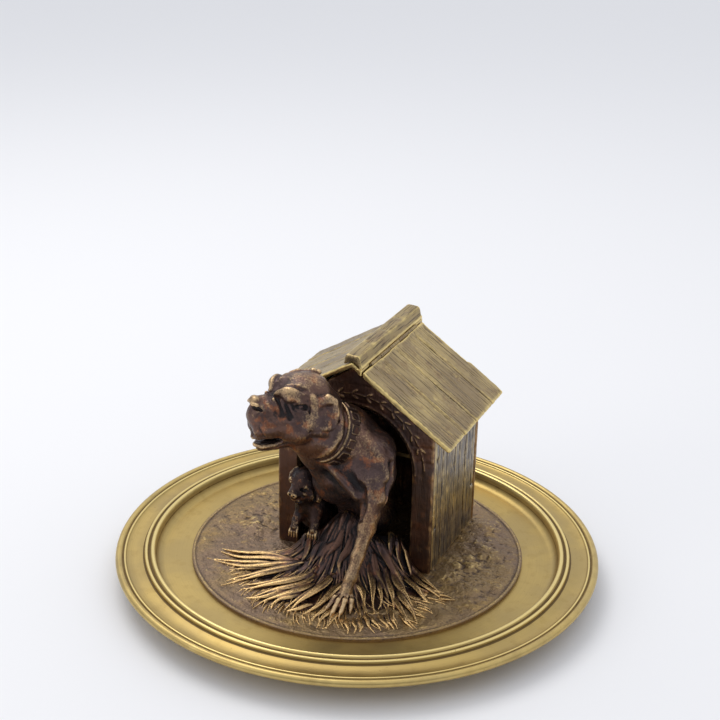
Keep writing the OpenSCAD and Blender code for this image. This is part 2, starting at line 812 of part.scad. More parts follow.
// Bell-shaped cap along the ridge, straight on the hinge's side: shares of its foot and of its rise
cap_left = [[1, 0], [0.86, 0.16], [0.75, 0.36], [0.7, 0.62], [0.67, 0.851], [0.58, 0.959], [0.45, 1]];
cap_right = [[0.45, 1], [0.6, 0.946], [0.7, 0.784]];
module ridge_cap() {
    foot = cap_foot;
    rise = cap_rise;
    top = hinge_z + rise;
    d1 = hinge_x - lid_gap;
    color([0.72, 0.64, 0.38])
    ajar() difference() {
        across(roof_y0, roof_y1)
            polygon(concat(
                [for (p = cap_left) [-foot * p[0], hinge_z + rise * p[1]]],
                [for (p = cap_right) [foot * p[0], hinge_z + rise * p[1]]],
                [[d1, roof_top(d1)], [0, peak_h]]));
        bar_y(hinge_x, hinge_z, roof_y0 - 1, roof_y1 + 1, cove_r);
        at_rivets() translate([0, 0, -1]) screw_hole(rivet_r + slip, rivet_len + 1);
    }
}

module cap_rivets() {
    color([0.6, 0.52, 0.3])
    ajar() at_rivets() {
        cylinder(r = rivet_r, h = rivet_len, $fn = screw_fn);
        translate([0, 0, -rivet_head_h]) cylinder(r = rivet_head_r, h = rivet_head_h, $fn = screw_fn);
    }
}

pin_out = 0.5;
module hinge_pin() {
    color([0.5, 0.48, 0.42])
    at_kennel() bar_y(hinge_x, hinge_z, hinge_y0 - pin_out, hinge_y0 + hinge_len + pin_out, pin_r);
}

// Shelf behind the dog, with a round hole that holds the pot by its flange
module well_shelf() {
    color([0.7, 0.6, 0.34])
    at_kennel() difference() {
        translate([-inner_w, shelf_y0, shelf_h - shelf_t]) cube([2 * inner_w, shelf_d, shelf_t]);
        at_corners()
            translate([-post_w / 2 - hole_clear, -post_w / 2 - hole_clear, 0])
                cube([post_w + 2 * hole_clear, post_w + 2 * hole_clear, post_h]);
        translate([pot_x, pot_y, 0]) cylinder(r = pot_r + pot_clear, h = big, $fn = 96);
        shelf_screw_holes(screw_r + slip);
    }
}

module shelf_ledges() {
    color([0.45, 0.4, 0.28])
    at_kennel() difference() {
        for (s = [-1, 1])
            translate([s > 0 ? inner_w - ledge_w : -inner_w, shelf_y0, shelf_h - shelf_t - ledge_w])
                cube([ledge_w, ledge_len, ledge_w]);
        ledge_screw_holes(screw_r + slip);
        shelf_screw_holes(screw_r + slip);
    }
}

ledge_screw_ys = [6, ledge_len - post_w - ledge_w];
shelf_screw_step = ledge_w + 0.5;
module at_ledge_screws() {
    for (s = [-1, 1], y = ledge_screw_ys)
        translate([s * (inner_w - ledge_w), shelf_y0 + y, shelf_h - shelf_t - ledge_w / 2])
            rotate([0, s * 90, 0]) children();
}

module ledge_screw_holes(r) {
    at_ledge_screws() screw_hole(r, ledge_w + screw_bite);
}

module ledge_screws() {
    color([0.6, 0.52, 0.3]) at_kennel() at_ledge_screws() panel_screw(ledge_w + screw_bite);
}

shelf_screw_len = shelf_t + ledge_w * 0.75;
module at_shelf_screws() {
    for (s = [-1, 1], y = ledge_screw_ys)
        translate([s * (inner_w - ledge_w / 2), shelf_y0 + y + shelf_screw_step, shelf_h])
            rotate([180, 0, 0])
                children();
}

module shelf_screw_holes(r) {
    at_shelf_screws() screw_hole(r, shelf_screw_len + tip_room);
}

module shelf_screws() {
    color([0.6, 0.52, 0.3]) at_kennel() at_shelf_screws() panel_screw(shelf_screw_len);
}

// Glazed liner: round body with a rolled flange and a rounded inside
pot_foot_r = 2.5;
pot_lip_r = 1;
pot_cove_r = 4;
module ink_pot() {
    inner_r = pot_r - pot_wall;
    roll_r = pot_flange_t * 0.6;
    color([0.93, 0.92, 0.88])
    at_kennel() translate([pot_x, pot_y, shelf_h])
        rotate_extrude($fn = 96)
            polygon(concat(
                [[0, -pot_h], [pot_r - pot_foot_r, -pot_h]],
                arc_points(pot_r - pot_foot_r, pot_foot_r - pot_h, pot_foot_r, -90, 0, 5),
                [[pot_r, 0], [pot_r + pot_flange_w, 0]],
                arc_points(pot_r + pot_flange_w - roll_r, pot_flange_t - roll_r, roll_r, 0, 90, 5),
                arc_points(inner_r + pot_lip_r, pot_flange_t - pot_lip_r, pot_lip_r, 90, 180, 4),
                arc_points(inner_r - pot_cove_r, pot_wall + pot_cove_r - pot_h, pot_cove_r, 0, -90, 6),
                [[0, pot_wall - pot_h]]));
}

// Ties from the corner posts down through the plate and the dish
washer_r = 3.6;
washer_t = 0.8;
nut_r = 2.9;
nut_h = 2.4;
stud_down = washer_t + nut_h + washer_t;
module tie_studs() {
    color([0.55, 0.5, 0.36])
    translate([kennel_x, kennel_y, foot_h - stud_down]) at_corners()
        cylinder(r = stud_r, h = stud_down + dish_floor_t + plate_t + stud_up, $fn = hole_fn);
}

module tie_washers() {
    color([0.62, 0.56, 0.36])
    translate([kennel_x, kennel_y, foot_h - washer_t]) at_corners() difference() {
        cylinder(r = washer_r, h = washer_t, $fn = hole_fn);
        translate([0, 0, -1]) cylinder(r = stud_r + 2 * slip, h = washer_t + 2, $fn = hole_fn);
    }
}

module tie_nuts() {
    color([0.62, 0.56, 0.36])
    translate([kennel_x, kennel_y, foot_h - washer_t - nut_h]) at_corners() difference() {
        cylinder(r = nut_r, h = nut_h, $fn = 6);
        translate([0, 0, -1]) cylinder(r = stud_r + slip, h = nut_h + 2, $fn = hole_fn);
    }
}

// Screws from below into the dog and the puppy
module figure_screws() {
    color([0.55, 0.5, 0.36])
    at_figures() {
        translate([0, 0, foot_h - figure_head_h])
            cylinder(r = figure_head_r, h = figure_head_h, $fn = hole_fn);
        translate([0, 0, foot_h - eps])
            cylinder(r = figure_screw_r, h = ground_z - foot_h + figure_screw_up, $fn = screw_fn);
    }
}

dish();
ground_plate();
straw_bed();
mother_dog();
puppy();
kennel_front();
kennel_back();
kennel_left_wall();
kennel_right_wall();
corner_posts();
panel_screws();
roof_right_slope();
roof_cleats();
roof_screws();
roof_lid();
ridge_cap();
cap_rivets();
hinge_pin();
well_shelf();
shelf_ledges();
ledge_screws();
shelf_screws();
ink_pot();
tie_studs();
tie_washers();
tie_nuts();
figure_screws();
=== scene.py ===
import math

import bpy
import numpy as np
import openvdb
from mathutils import Matrix


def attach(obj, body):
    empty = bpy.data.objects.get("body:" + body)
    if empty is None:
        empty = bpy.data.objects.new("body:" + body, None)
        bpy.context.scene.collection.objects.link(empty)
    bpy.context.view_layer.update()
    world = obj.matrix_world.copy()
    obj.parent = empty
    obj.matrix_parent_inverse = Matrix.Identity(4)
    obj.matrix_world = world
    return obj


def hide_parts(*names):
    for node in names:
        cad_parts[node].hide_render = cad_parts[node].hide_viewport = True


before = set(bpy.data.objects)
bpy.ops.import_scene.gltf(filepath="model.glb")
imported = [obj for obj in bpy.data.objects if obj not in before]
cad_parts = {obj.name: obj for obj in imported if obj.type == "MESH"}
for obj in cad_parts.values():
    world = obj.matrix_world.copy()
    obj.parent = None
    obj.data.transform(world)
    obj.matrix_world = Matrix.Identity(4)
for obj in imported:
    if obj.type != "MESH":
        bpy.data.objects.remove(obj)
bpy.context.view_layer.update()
mm = 0.001
kennelAt = np.array([2.0, -11.4, 11.5], np.float32)
print("frame loaded")


# Noise on points, smooth and repeatable
scatter = (374761393, 668265263, 2147483629, 974634777, 1274126177)  # large odd numbers that mix the bits
word = 0xFFFFFFFF


def hashed(ix, iy, iz, seed):
    # a repeatable number from -1 to 1 for each corner of a grid
    n = sum(i.astype(np.int64) * factor for i, factor in zip((ix, iy, iz), scatter))
    n = (n + seed * scatter[3]) & word
    n = ((n ^ (n >> 13)) * scatter[4]) & word
    return ((n ^ (n >> 16)) & 0xFFFFFF).astype(np.float32) / 8388608.0 - 1.0


def wander(x, y, z, size, seed):
    # value noise from -1 to 1 whose lumps are about size wide
    x, y, z = np.broadcast_arrays(x / size, y / size, z / size)
    corner = [np.floor(v) for v in (x, y, z)]
    ease = [t * t * (3 - 2 * t) for t in (x - corner[0], y - corner[1], z - corner[2])]
    share = [(1 - t, t) for t in ease]
    total = 0
    for i, j, k in np.ndindex(2, 2, 2):
        total = total + share[0][i] * share[1][j] * share[2][k] * hashed(
            corner[0] + i, corner[1] + j, corner[2] + k, seed)
    return total


def ripple(x, y, size, seed):
    # the same noise in a plane
    return wander(x, y, 0 * x, size, seed)


def eased(t, low=0.0, high=1.0):
    # 0 up to low, 1 from high on, smooth in between
    t = np.clip((t - low) / (high - low), 0, 1)
    return t * t * (3 - 2 * t)


# Clay: a block of space that holds the distance to the surface being shaped
class Clay:
    def __init__(self, low, high, step, far=6.0):
        self.low = np.array(low, np.float32)
        self.step = step
        self.far = far
        self.size = np.ceil((np.array(high) - self.low) / step).astype(int) + 1
        self.field = np.full(self.size, far, np.float32)

    def axes(self, a=(0, 0, 0), b=None):
        # the places of the samples from corner a to corner b, as three arrays that broadcast
        b = self.size if b is None else b
        x, y, z = (self.low[k] + self.step * np.arange(a[k], b[k], dtype=np.float32) for k in range(3))
        return x[:, None, None], y[None, :, None], z[None, None, :]

    def part(self, low, high):
        # the slices and places of the samples inside a box
        a = np.clip(np.floor((np.array(low) - self.low) / self.step).astype(int), 0, self.size)
        b = np.clip(np.ceil((np.array(high) - self.low) / self.step).astype(int) + 1, 0, self.size)
        return tuple(slice(a[k], b[k]) for k in range(3)), self.axes(a, b)

    def press(self, shape, soft=1.0, cut=False):
        # joins a shape to the clay, or cuts it out, with a soft seam
        low, high, distance = shape
        room = soft + 2 * self.step
        where, (x, y, z) = self.part(low - room, high + room)
        if 0 in self.field[where].shape:
            return
        here = self.field[where]
        there = distance(x, y, z)
        if cut:
            blend = np.maximum(soft - np.abs(here + there), 0) / soft
            self.field[where] = np.maximum(here, -there) + blend * blend * soft / 4
        else:
            blend = np.maximum(soft - np.abs(here - there), 0) / soft
            self.field[where] = np.minimum(here, there) - blend * blend * soft / 4

    def softened(self, reach):
        # the field averaged over a box that reaches this far each way
        n = max(1, int(round(reach / self.step)))
        out = np.clip(self.field, -3 * reach, 3 * reach)
        for axis in range(3):
            padded = np.concatenate([np.repeat(out.take([0], axis), n + 1, axis), out,
                                     np.repeat(out.take([-1], axis), n, axis)], axis)
            run = np.cumsum(padded, axis, dtype=np.float64)
            length = out.shape[axis]
            ends = (run.take(range(first, first + length), axis) for first in (2 * n + 1, 0))
            out = ((next(ends) - next(ends)) / (2 * n + 1)).astype(np.float32)
        return out

    def sampled(self, values, points):
        # values on the block's samples, read off at any points
        spot = (points - self.low) / self.step
        base = np.clip(np.floor(spot).astype(int), 0, self.size - 2)
        t = np.clip(spot - base, 0, 1)
        total = 0
        for i, j, k in np.ndindex(2, 2, 2):
            w = np.abs(1 - i - t[:, 0]) * np.abs(1 - j - t[:, 1]) * np.abs(1 - k - t[:, 2])
            total = total + w * values[base[:, 0] + i, base[:, 1] + j, base[:, 2] + k]
        return total


def limb(*spots):
    # a chain of balls [x, y, z, r] joined by tapered bars
    spots = np.array(spots, np.float32)

    def distance(x, y, z):
        best = None
        for a, b in zip(spots[:-1], spots[1:]):
            d = b[:3] - a[:3]
            px, py, pz = x - a[0], y - a[1], z - a[2]
            t = np.clip((px * d[0] + py * d[1] + pz * d[2]) / max(float(d @ d), 1e-6), 0, 1)
            now = (np.sqrt((px - t * d[0]) ** 2 + (py - t * d[1]) ** 2 + (pz - t * d[2]) ** 2)
                   - (a[3] + (b[3] - a[3]) * t))
            best = now if best is None else np.minimum(best, now)
        return best

    return (spots[:, :3] - spots[:, 3:]).min(0), (spots[:, :3] + spots[:, 3:]).max(0), distance


def placed(name, points, faces, body, look, marks=(), sharp=None):
    # a smooth mesh that rides on a body; marks are its wear and deep values, point by point
    mesh = bpy.data.meshes.new(name)
    mesh.from_pydata((np.asarray(points) * mm).tolist(), [], faces)
    for label, values in zip(("wear", "deep"), marks):
        mesh.attributes.new(label, "FLOAT", "POINT").data.foreach_set(
            "value", np.clip(values, -2, 2).astype(np.float32))
    mesh.polygons.foreach_set("use_smooth", np.full(len(faces), True))
    if sharp is not None:
        mesh.set_sharp_from_angle(angle=math.radians(sharp))
    mesh.materials.append(look)
    mesh.update()
    thing = bpy.data.objects.new(name, mesh)
    bpy.context.scene.collection.objects.link(thing)
    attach(thing, body)
    print("made", name, len(mesh.vertices), "points")
    return thing


def cast(name, clay, body, look, move=(0, 0, 0), reach=(0.9, 3.2), fade=None):
    # meshes the clay, and marks how far each point stands out (wear) or lies in a hollow (deep);
    # the function passed last paints shade by place (painted highlight where negative): how much darker a
    # place stays than its shape alone would make it
    grid = openvdb.FloatGrid(clay.far)
    grid.copyFromArray(np.ascontiguousarray(clay.field))
    spots, quads = grid.convertToQuads(0.0)
    points = clay.low + clay.step * spots
    marks = [clay.sampled(clay.softened(r), points) / (share * r) for r, share in zip(reach, (0.16, 0.2))]
    # painted shade and painted highlight by place, taken off both marks
    if fade is not None:
        darker = fade(*points.T)
        marks = [values - darker for values in marks]
    return placed(name, points + np.array(move, np.float32), quads.tolist(), body, look, marks)


class Flow:
    # a shader socket that takes part in ordinary expressions
    def __init__(self, look, socket):
        self.look, self.socket = look, socket

    def ramp(self, low, high):
        # the same as eased, in the shader
        return self.look.node("ShaderNodeMapRange", {"interpolation_type": "SMOOTHSTEP", "clamp": True},
                              {"Value": self, "From Min": low, "From Max": high})


for sign, operation in {"add": "ADD", "sub": "SUBTRACT", "mul": "MULTIPLY"}.items():
    setattr(Flow, f"__{sign}__", lambda self, other, does=operation: self.look.maths(does, self, other))
    setattr(Flow, f"__r{sign}__", lambda self, other, does=operation: self.look.maths(does, other, self))


class Look:
    # a material, or another node tree, whose nodes all come from one method
    def __init__(self, name, tree=None):
        self.place, self.tree = None, tree
        if tree is None:
            self.material = bpy.data.materials.new(name)
            self.material.use_nodes = True
            self.tree = self.material.node_tree
            self.tree.nodes.clear()
            self.shader = self.tree.nodes.new("ShaderNodeBsdfPrincipled")
            out = self.tree.nodes.new("ShaderNodeOutputMaterial")
            self.tree.links.new(self.shader.outputs[0], out.inputs["Surface"])

    def fill(self, made, sockets):
        # links flows and sets constants
        for key, value in (sockets or {}).items():
            if isinstance(value, Flow):
                self.tree.links.new(value.socket, made.inputs[key])
            else:
                made.inputs[key].default_value = value

    def node(self, kind, settings=None, sockets=None, out=0):
        made = self.tree.nodes.new(kind)
        for key, value in (settings or {}).items():
            setattr(made, key, value)
        self.fill(made, sockets)
        return Flow(self, made.outputs[out])

    def maths(self, operation, a, b=0.0):
        return self.node("ShaderNodeMath", {"operation": operation}, {0: a, 1: b})

    def mixed(self, share, a, b):
        return self.node("ShaderNodeMix", {"data_type": "RGBA"}, {0: share, 6: a, 7: b}, 2)

    def coords(self, scale=(1, 1, 1), turn=(0, 0, 0)):
        # the point's place in millimetres, along axes turned by turn, divided by scale
        if self.place is None:
            self.place = self.node("ShaderNodeTexCoord", out=3)
        return self.node("ShaderNodeMapping", {"vector_type": "TEXTURE"},
                         {"Vector": self.place, "Rotation": turn, "Scale": tuple(s * mm for s in scale)})

    def speckle(self, size, detail=3.0, scale=(1, 1, 1), turn=(0, 0, 0)):
        return self.node("ShaderNodeTexNoise", None,
                         {"Vector": self.coords(scale, turn), "Scale": 1.0 / size, "Detail": detail,
                          "Roughness": 0.55})

    def fact(self, label):
        # a value kept on the mesh's points
        return self.node("ShaderNodeAttribute", {"attribute_name": label}, out=2)

    def axis(self, vector, k):
        return self.node("ShaderNodeSeparateXYZ", None, {0: vector}, k)

    def bumped(self, height, strength, distance):
        return self.node("ShaderNodeBump", None,
                         {"Height": height, "Strength": strength, "Distance": distance * mm})

    def done(self, **sockets):
        self.fill(self.shader, {key.replace("_", " "): value for key, value in sockets.items()})
        return self.material


def paint(r, g, b):
    # a colour as read off a screen, 0 to 255, as a shader wants it
    straight = [v / 255 for v in (r, g, b)]
    return tuple(v / 12.92 if v < 0.0405 else ((v + 0.055) / 1.055) ** 2.4 for v in straight) + (1.0,)


def bronze(name, base, **changes):
    # cast metal: dark patina with painted shade in the hollows, brown on the open faces, rubbed bright on the
    # ridges
    look, tone = Look(name), {**base, **changes}
    brown, warm, patch, bright, dark = (
        paint(*tone[key]) for key in ("brown", "warm", "patch", "bright", "dark"))
    wear, deep = look.fact("wear"), look.fact("deep")
    scale, turn = tone["scale"], tone["turn"]
    blotch = look.speckle(tone["blotch"], 5.0)
    cloud = look.speckle(tone["blotch"] * 3.3)
    fine = look.speckle(tone["fine"], 3.0, scale, turn)
    coarse = look.speckle(tone["fine"] * 3.6, 3.0, scale, turn)
    rubbed = (wear * tone["rubWear"] + deep * tone["rubDeep"] + (blotch - 0.5) * tone["rubNoise"]
              + (fine - 0.5) * tone["rubFine"]).ramp(tone["rubFrom"], tone["rubTo"])
    # dark patina with painted shade: darkest where a point lies in a hollow
    dirt = (wear * -tone["dirtWear"] + deep * -tone["dirtDeep"] + (cloud - 0.5) * 0.8
            + (fine - 0.5) * tone["dirtFine"]).ramp(tone["dirtFrom"], tone["dirtTo"])
    skin = look.mixed(cloud.ramp(0.4, 0.6), brown, warm)
    skin = look.mixed((blotch - 0.5).ramp(0.04, 0.14) * tone["patchMost"], skin, patch)
    if tone["streak"]:  # long dark grain, three times as long as the fine one
        lines = look.speckle(tone["streak"], 3.0, tuple(v * 3 if v > 1 else v for v in scale), turn)
        skin = look.mixed((lines - 0.5).ramp(0.02, 0.12) * 0.7, skin, dark)
    skin = look.mixed(rubbed * tone["rubMost"], skin, bright)
    skin = look.mixed(dirt * tone["dirtMost"], skin, dark)
    return look.done(
        Base_Color=skin, Metallic=tone["metal"] - dirt * 0.5,
        Roughness=tone["rough"] + dirt * 0.2 - rubbed * 0.08 + (fine - 0.5) * 0.25,
        Normal=look.bumped(fine + coarse * 1.4, tone["bump"], tone["bumpHigh"]))


# Colours as on a screen; sizes of spots in mm; rub and the dark of the hollows (patina with painted shade)
# are weights of wear, deep and noise, and then the range over which the bright or the dark tone comes in
dogTone = dict(
    brown=(88, 72, 70), warm=(106, 80, 70), patch=(152, 92, 58), bright=(218, 186, 140), dark=(20, 17, 21),
    blotch=6.0, fine=1.0, streak=0, scale=(0.8, 0.8, 1.8), turn=(0.5, 0.3, 0), patchMost=0.55,
    rubWear=0.5, rubDeep=0.5, rubNoise=1.7, rubFine=2.4, rubFrom=0.15, rubTo=2.0, rubMost=0.85,
    dirtWear=0.6, dirtDeep=0.75, dirtFine=1.6, dirtFrom=0.2, dirtTo=1.4, dirtMost=0.95,
    metal=0.9, rough=0.38, bump=0.6, bumpHigh=0.35)
boardTone = dict(
    dogTone, brown=(76, 62, 58), warm=(90, 66, 56), patch=(112, 74, 54), bright=(196, 162, 118),
    dark=(24, 19, 20), patchMost=0.4, rubFrom=0.45, rubTo=1.7, rubWear=0.7, rubDeep=0.2, rubNoise=1.4,
    rubFine=1.6, rough=0.42, scale=(0.6, 0.6, 5.0), turn=(0, 0, 0), bump=0.5)
roofTone = dict(
    dogTone, brown=(150, 130, 98), warm=(182, 160, 114), patch=(134, 108, 80), bright=(240, 214, 142),
    dark=(58, 44, 32), rubWear=0.75, rubDeep=0.3, rubNoise=0.9, rubFine=1.0, rubFrom=0.5, rubTo=1.5,
    rubMost=0.9, rough=0.4, bump=0.5, bumpHigh=0.25, dirtFrom=0.25, dirtFine=1.0, blotch=9.0, patchMost=0.5,
    fine=0.7)
alongSlope = dict(scale=(7.0, 0.6, 0.6), streak=1.1)
looks = {
    "dog": bronze("dogBronze", dogTone),
    "collar": bronze("collarBronze", dogTone, brown=(60, 50, 50), warm=(76, 58, 52), patchMost=0.2,
                     rubFrom=0.7, rubTo=2.4, rubMost=0.7, dirtFrom=0.0),
    "puppy": bronze("puppyBronze", dogTone, brown=(46, 39, 41), warm=(66, 50, 46), patchMost=0.2,
                    rubFrom=0.55, rubTo=1.8, blotch=3.0, fine=0.8),
    "straw": bronze("strawBronze", dogTone, brown=(66, 54, 54), warm=(92, 68, 58), bright=(226, 188, 128),
                    dark=(15, 13, 19), fine=0.8, patchMost=0.3, rubFrom=0.7, rubTo=2.3, rubWear=0.95,
                    rubDeep=0.4, rubNoise=1.4, rubFine=0.6, bump=0.3, dirtWear=0.85, dirtFrom=-0.25,
                    dirtTo=0.8, rough=0.34, scale=(1, 1, 1)),
    "ground": bronze("groundBronze", dogTone, brown=(132, 110, 90), warm=(144, 120, 86), patch=(160, 130, 80),
                     bright=(216, 188, 126), dark=(70, 54, 48), rubDeep=0.3, rubFrom=0.35, rubTo=1.7,
                     rubMost=0.7, rubFine=2.8, dirtTo=1.8, dirtMost=0.8, dirtFine=2.6, rough=0.46,
                     blotch=12.0, bump=1.0, bumpHigh=0.5, scale=(1, 1, 1), metal=0.85),
    "board": bronze("boardBronze", boardTone),
    "wall": bronze("wallBrass", boardTone, brown=(110, 100, 92), warm=(102, 97, 97), patch=(128, 106, 82),
                   bright=(216, 196, 150), dark=(32, 27, 26), patchMost=0.35, rubFrom=0.5, rubFine=2.4,
                   dirtFrom=0.3, rough=0.36, scale=(0.6, 0.6, 6.0), streak=0.9),
    "roofRight": bronze("roofRightBrass", roofTone, **alongSlope, turn=(0, 0.597, 0)),
    "roofLeft": bronze("roofLeftBrass", roofTone, **alongSlope, turn=(0, -0.597, 0)),
    "cap": bronze("capBrass", roofTone, brown=(160, 140, 102), warm=(172, 150, 104), scale=(0.6, 6.0, 0.6),
                  turn=(0, 0, 0), rubFrom=0.6, rubNoise=0.4, streak=1.1),
    "fixing": bronze("fixingBrass", roofTone, brown=(138, 120, 84), warm=(150, 128, 86))}


def dishBrass():
    # turned brass: satin with rings from the lathe, brown patina with painted shade in the grooves, small
    # scratches and specks
    look = Look("dishBrass")
    wear, deep = look.fact("wear"), look.fact("deep")
    x, y = (look.axis(look.coords(), k) for k in (0, 1))
    radius = look.maths("SQRT", x * x + y * y)
    ring = look.node("ShaderNodeTexNoise", {"noise_dimensions": "1D"},
                     {"W": radius, "Scale": 2.2, "Detail": 3.0})
    cloud = look.speckle(26.0)
    blotch = look.speckle(6.0, 4.0)
    speck = look.speckle(1.1, 2.0).ramp(0.66, 0.76)
    scratch = look.speckle(9.0, 2.0, (1.0, 14.0, 1.0), (0, 0, 0.7)).ramp(0.66, 0.7)
    # brown patina with painted shade in the grooves and hollows
    dirt = (wear * -0.9 + deep * -0.45 + (blotch - 0.5) * 0.7).ramp(0.12, 0.8)
    rubbed = (wear * 0.9 + (blotch - 0.5) * 0.5).ramp(0.35, 1.0)
    skin = look.mixed(cloud.ramp(0.35, 0.65), paint(176, 152, 98), paint(190, 164, 102))
    for share, colour in (((ring - 0.5).ramp(-0.1, 0.25) * 0.3, (164, 142, 90)),
                          ((blotch - 0.5).ramp(0.02, 0.2) * 0.3, (160, 134, 78)),
                          (rubbed * 0.8, (240, 216, 146)), (dirt * 0.85, (88, 66, 34)),
                          (speck * 0.4, (116, 90, 50))):
        skin = look.mixed(share, skin, paint(*colour))
    return look.done(Base_Color=skin, Metallic=1.0 - dirt * 0.3,
                     Roughness=0.42 + (cloud - 0.5) * 0.2 + dirt * 0.2 - rubbed * 0.1,
                     Normal=look.bumped(ring * 0.35 + blotch * 0.25 + scratch * -0.3, 0.22, 0.12))


def glaze():
    # white glazed ceramic with faint crazing and grey where ink has soaked in
    look = Look("whiteGlaze")
    cloud = look.speckle(9.0)
    craze = look.node("ShaderNodeTexVoronoi", {"feature": "DISTANCE_TO_EDGE"},
                      {"Vector": look.coords(), "Scale": 0.28}).ramp(0.0, 0.035)
    skin = look.mixed(cloud.ramp(0.35, 0.7), paint(232, 230, 220), paint(218, 214, 200))
    skin = look.mixed((1 - craze) * 0.3, skin, paint(120, 118, 120))
    return look.done(Base_Color=skin, Roughness=0.12 + cloud * 0.08, Coat_Weight=0.5,
                     Normal=look.bumped(cloud, 0.08, 0.3))


def pinSteel():
    # drawn steel wire
    look = Look("pinSteel")
    line = look.speckle(0.4, 3.0, (0.5, 8.0, 0.5))
    return look.done(Base_Color=look.mixed(line, paint(120, 116, 108), paint(168, 162, 150)), Metallic=1.0,
                     Roughness=0.32 + line * 0.12, Normal=look.bumped(line, 0.1, 0.1))


looks.update(dish=dishBrass(), glaze=glaze(), pin=pinSteel())
print("materials made")


# The dish, turned from one profile
dish = {"rim": 125.0, "ridge": 106.0, "floor": 10.0, "rise": 6.7, "footOut": 79.0, "footIn": 75.0,
        "under": 7.0, "bead": 1.9, "turns": 360}


def arc(x, y, r, a0, a1, steps):
    # points from angle a0 to a1, in degrees
    return [(x + r * math.cos(math.radians(a0 + (a1 - a0) * i / steps)),
             y + r * math.sin(math.radians(a0 + (a1 - a0) * i / steps))) for i in range(steps + 1)]


def dishProfile():
    crest = dish["floor"] + dish["rise"]
    # (radius, height) from the middle of the floor over ridge, grooves, flange and bead, and back underneath
    ridge, floor, under = dish["ridge"], dish["floor"], dish["under"]
    foot, footIn = dish["footOut"], dish["footIn"]
    rimX, rimY = dish["rim"] - dish["bead"], floor + dish["rise"] / 2
    inner, outer = ridge + 5, dish["rim"] - 2 * dish["bead"] - 1.6
    low = rimY - 0.1
    return ([(0.0, floor), (60.0, floor), (84.0, floor), (92.0, floor), (ridge - 6, floor)]
            + arc(ridge - 6, crest - 2.2, crest - 2.2 - floor, -90, -20, 9)
            + arc(ridge, crest - 1.2, 1.2, 150, 20, 9)
            + [(ridge + 1.5, crest - 1.15), (ridge + 1.75, crest - 1.35), (ridge + 2.1, crest - 1.35),
               (ridge + 2.35, crest - 1.1)]
            + arc(ridge + 3.3, crest - 1.4, 0.9, 140, 10, 8)
            + [(ridge + 4.35, crest - 2.2), (inner - 0.3, crest - 2.45), (inner + 0.4, crest - 2.6),
               (inner + 1.7, low + 0.5), ((inner + outer) / 2, low), (outer - 1.2, low + 0.35),
               (outer - 0.2, low + 0.7)]
            + arc(outer + 0.6, low + 0.85, 0.62, 170, 10, 7)
            + [(rimX - 1.62, rimY + 0.95)]
            + arc(rimX, rimY, dish["bead"], 140, -90, 20)
            + [(rimX - 2, rimY - dish["bead"] - 0.2), (ridge + 3, floor + 0.6), (ridge - 2, floor - 0.8),
               (ridge - 7, under), (foot + 1.2, under)]
            + arc(foot + 1.2, under - 1.2, 1.2, 90, 180, 5)
            + [(foot, 0.4), (foot - 0.4, 0.0), (footIn + 0.4, 0.0), (footIn, 0.4), (footIn - 0.4, under),
               (40.0, under), (0.0, under)])


def turned(name, profile, turns, body, look):
    # spins a profile of (radius, height) and keeps how far each ring stands out
    rings = np.array([p for p, q in zip(profile, profile[1:] + [(-1, 0)]) if p != q], np.float32)
    n = len(rings)
    wear, deep = np.zeros(n), np.zeros(n)
    dense = []  # the profile in steps of 0.1 mm, to average over
    for i in range(n - 1):
        steps = max(1, int(np.hypot(*(rings[i + 1] - rings[i])) / 0.1))
        for k in range(steps):
            dense.append(rings[i] + (rings[i + 1] - rings[i]) * k / steps)
    dense = np.array(dense)
    for reach, out in ((1.0, wear), (3.5, deep)):
        for i in range(n):
            near = dense[np.hypot(*(dense - rings[i]).T) < reach]
            out[i] = (rings[i] - near.mean(0)) @ profileNormal(rings, i) / (0.14 * reach)
    a = np.arange(turns) * 2 * math.pi / turns
    inner = np.array([i for i in range(n) if rings[i][0] > 0])
    points = np.concatenate([np.stack([rings[i][0] * np.cos(a), rings[i][0] * np.sin(a),
                                       np.full(turns, rings[i][1])], 1) for i in inner]
                            + [np.array([[0, 0, rings[0][1]], [0, 0, rings[-1][1]]])])
    faces = []
    for k in range(len(inner) - 1):
        for j in range(turns):
            i, m = k * turns, (j + 1) % turns
            faces.append((i + j, i + turns + j, i + turns + m, i + m))
    last = len(inner) * turns
    for j in range(turns):
        faces.append((last, j, (j + 1) % turns))
        faces.append((last + 1, last - turns + (j + 1) % turns, last - turns + j))
    marks = [np.concatenate([np.repeat(values[inner], turns), values[[0, -1]]]) for values in (wear, deep)]
    return placed(name, points, faces, body, look, marks, 50)


def profileNormal(rings, i):
    # the outward direction of the profile at one ring
    d = rings[min(i + 1, len(rings) - 1)] - rings[max(i - 1, 0)]
    n = np.array([-d[1], d[0]])
    return n / max(np.hypot(*n), 1e-6)


turnedDish = turned("turned_dish", dishProfile(), dish["turns"], "stand", looks["dish"])
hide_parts("dish")

# The relief plate: stippled earth with clods, hollows and a wire bead
plate = {"radius": 86.0, "under": 10.0, "top": 11.5, "bead": 0.9, "beadRise": 0.5, "turns": 900, "rings": 150,
         "beadRings": 24}
# Rises of the ground and clods on them: x, y, radius, height
earth = [
    (56, 4, 13, 2.2), (60, 26, 14, 2.0), (52, 48, 12, 2.2), (34, 68, 13, 1.8), (4, 72, 12, 2.0),
    (-28, 68, 13, 1.8), (-52, 46, 15, 2.2), (-60, 20, 14, 1.8), (-56, -2, 12, 2.6), (-70, 6, 10, 1.2),
    (66, -12, 11, 1.2), (54, -8, 9, 2.6)]
clods = [
    (-62, 2, 5, 1.5), (-57, -3, 4, 1.8), (-66, -3, 4, 1.2), (-55, 6, 5, 1.4), (-70, 4, 3, 1.0),
    (62, 6, 5, 1.6), (57, 13, 4, 1.5), (66, 16, 5, 1.3), (61, 24, 5, 1.5), (70, 5, 4, 1.2), (54, 2, 4, 1.4)]


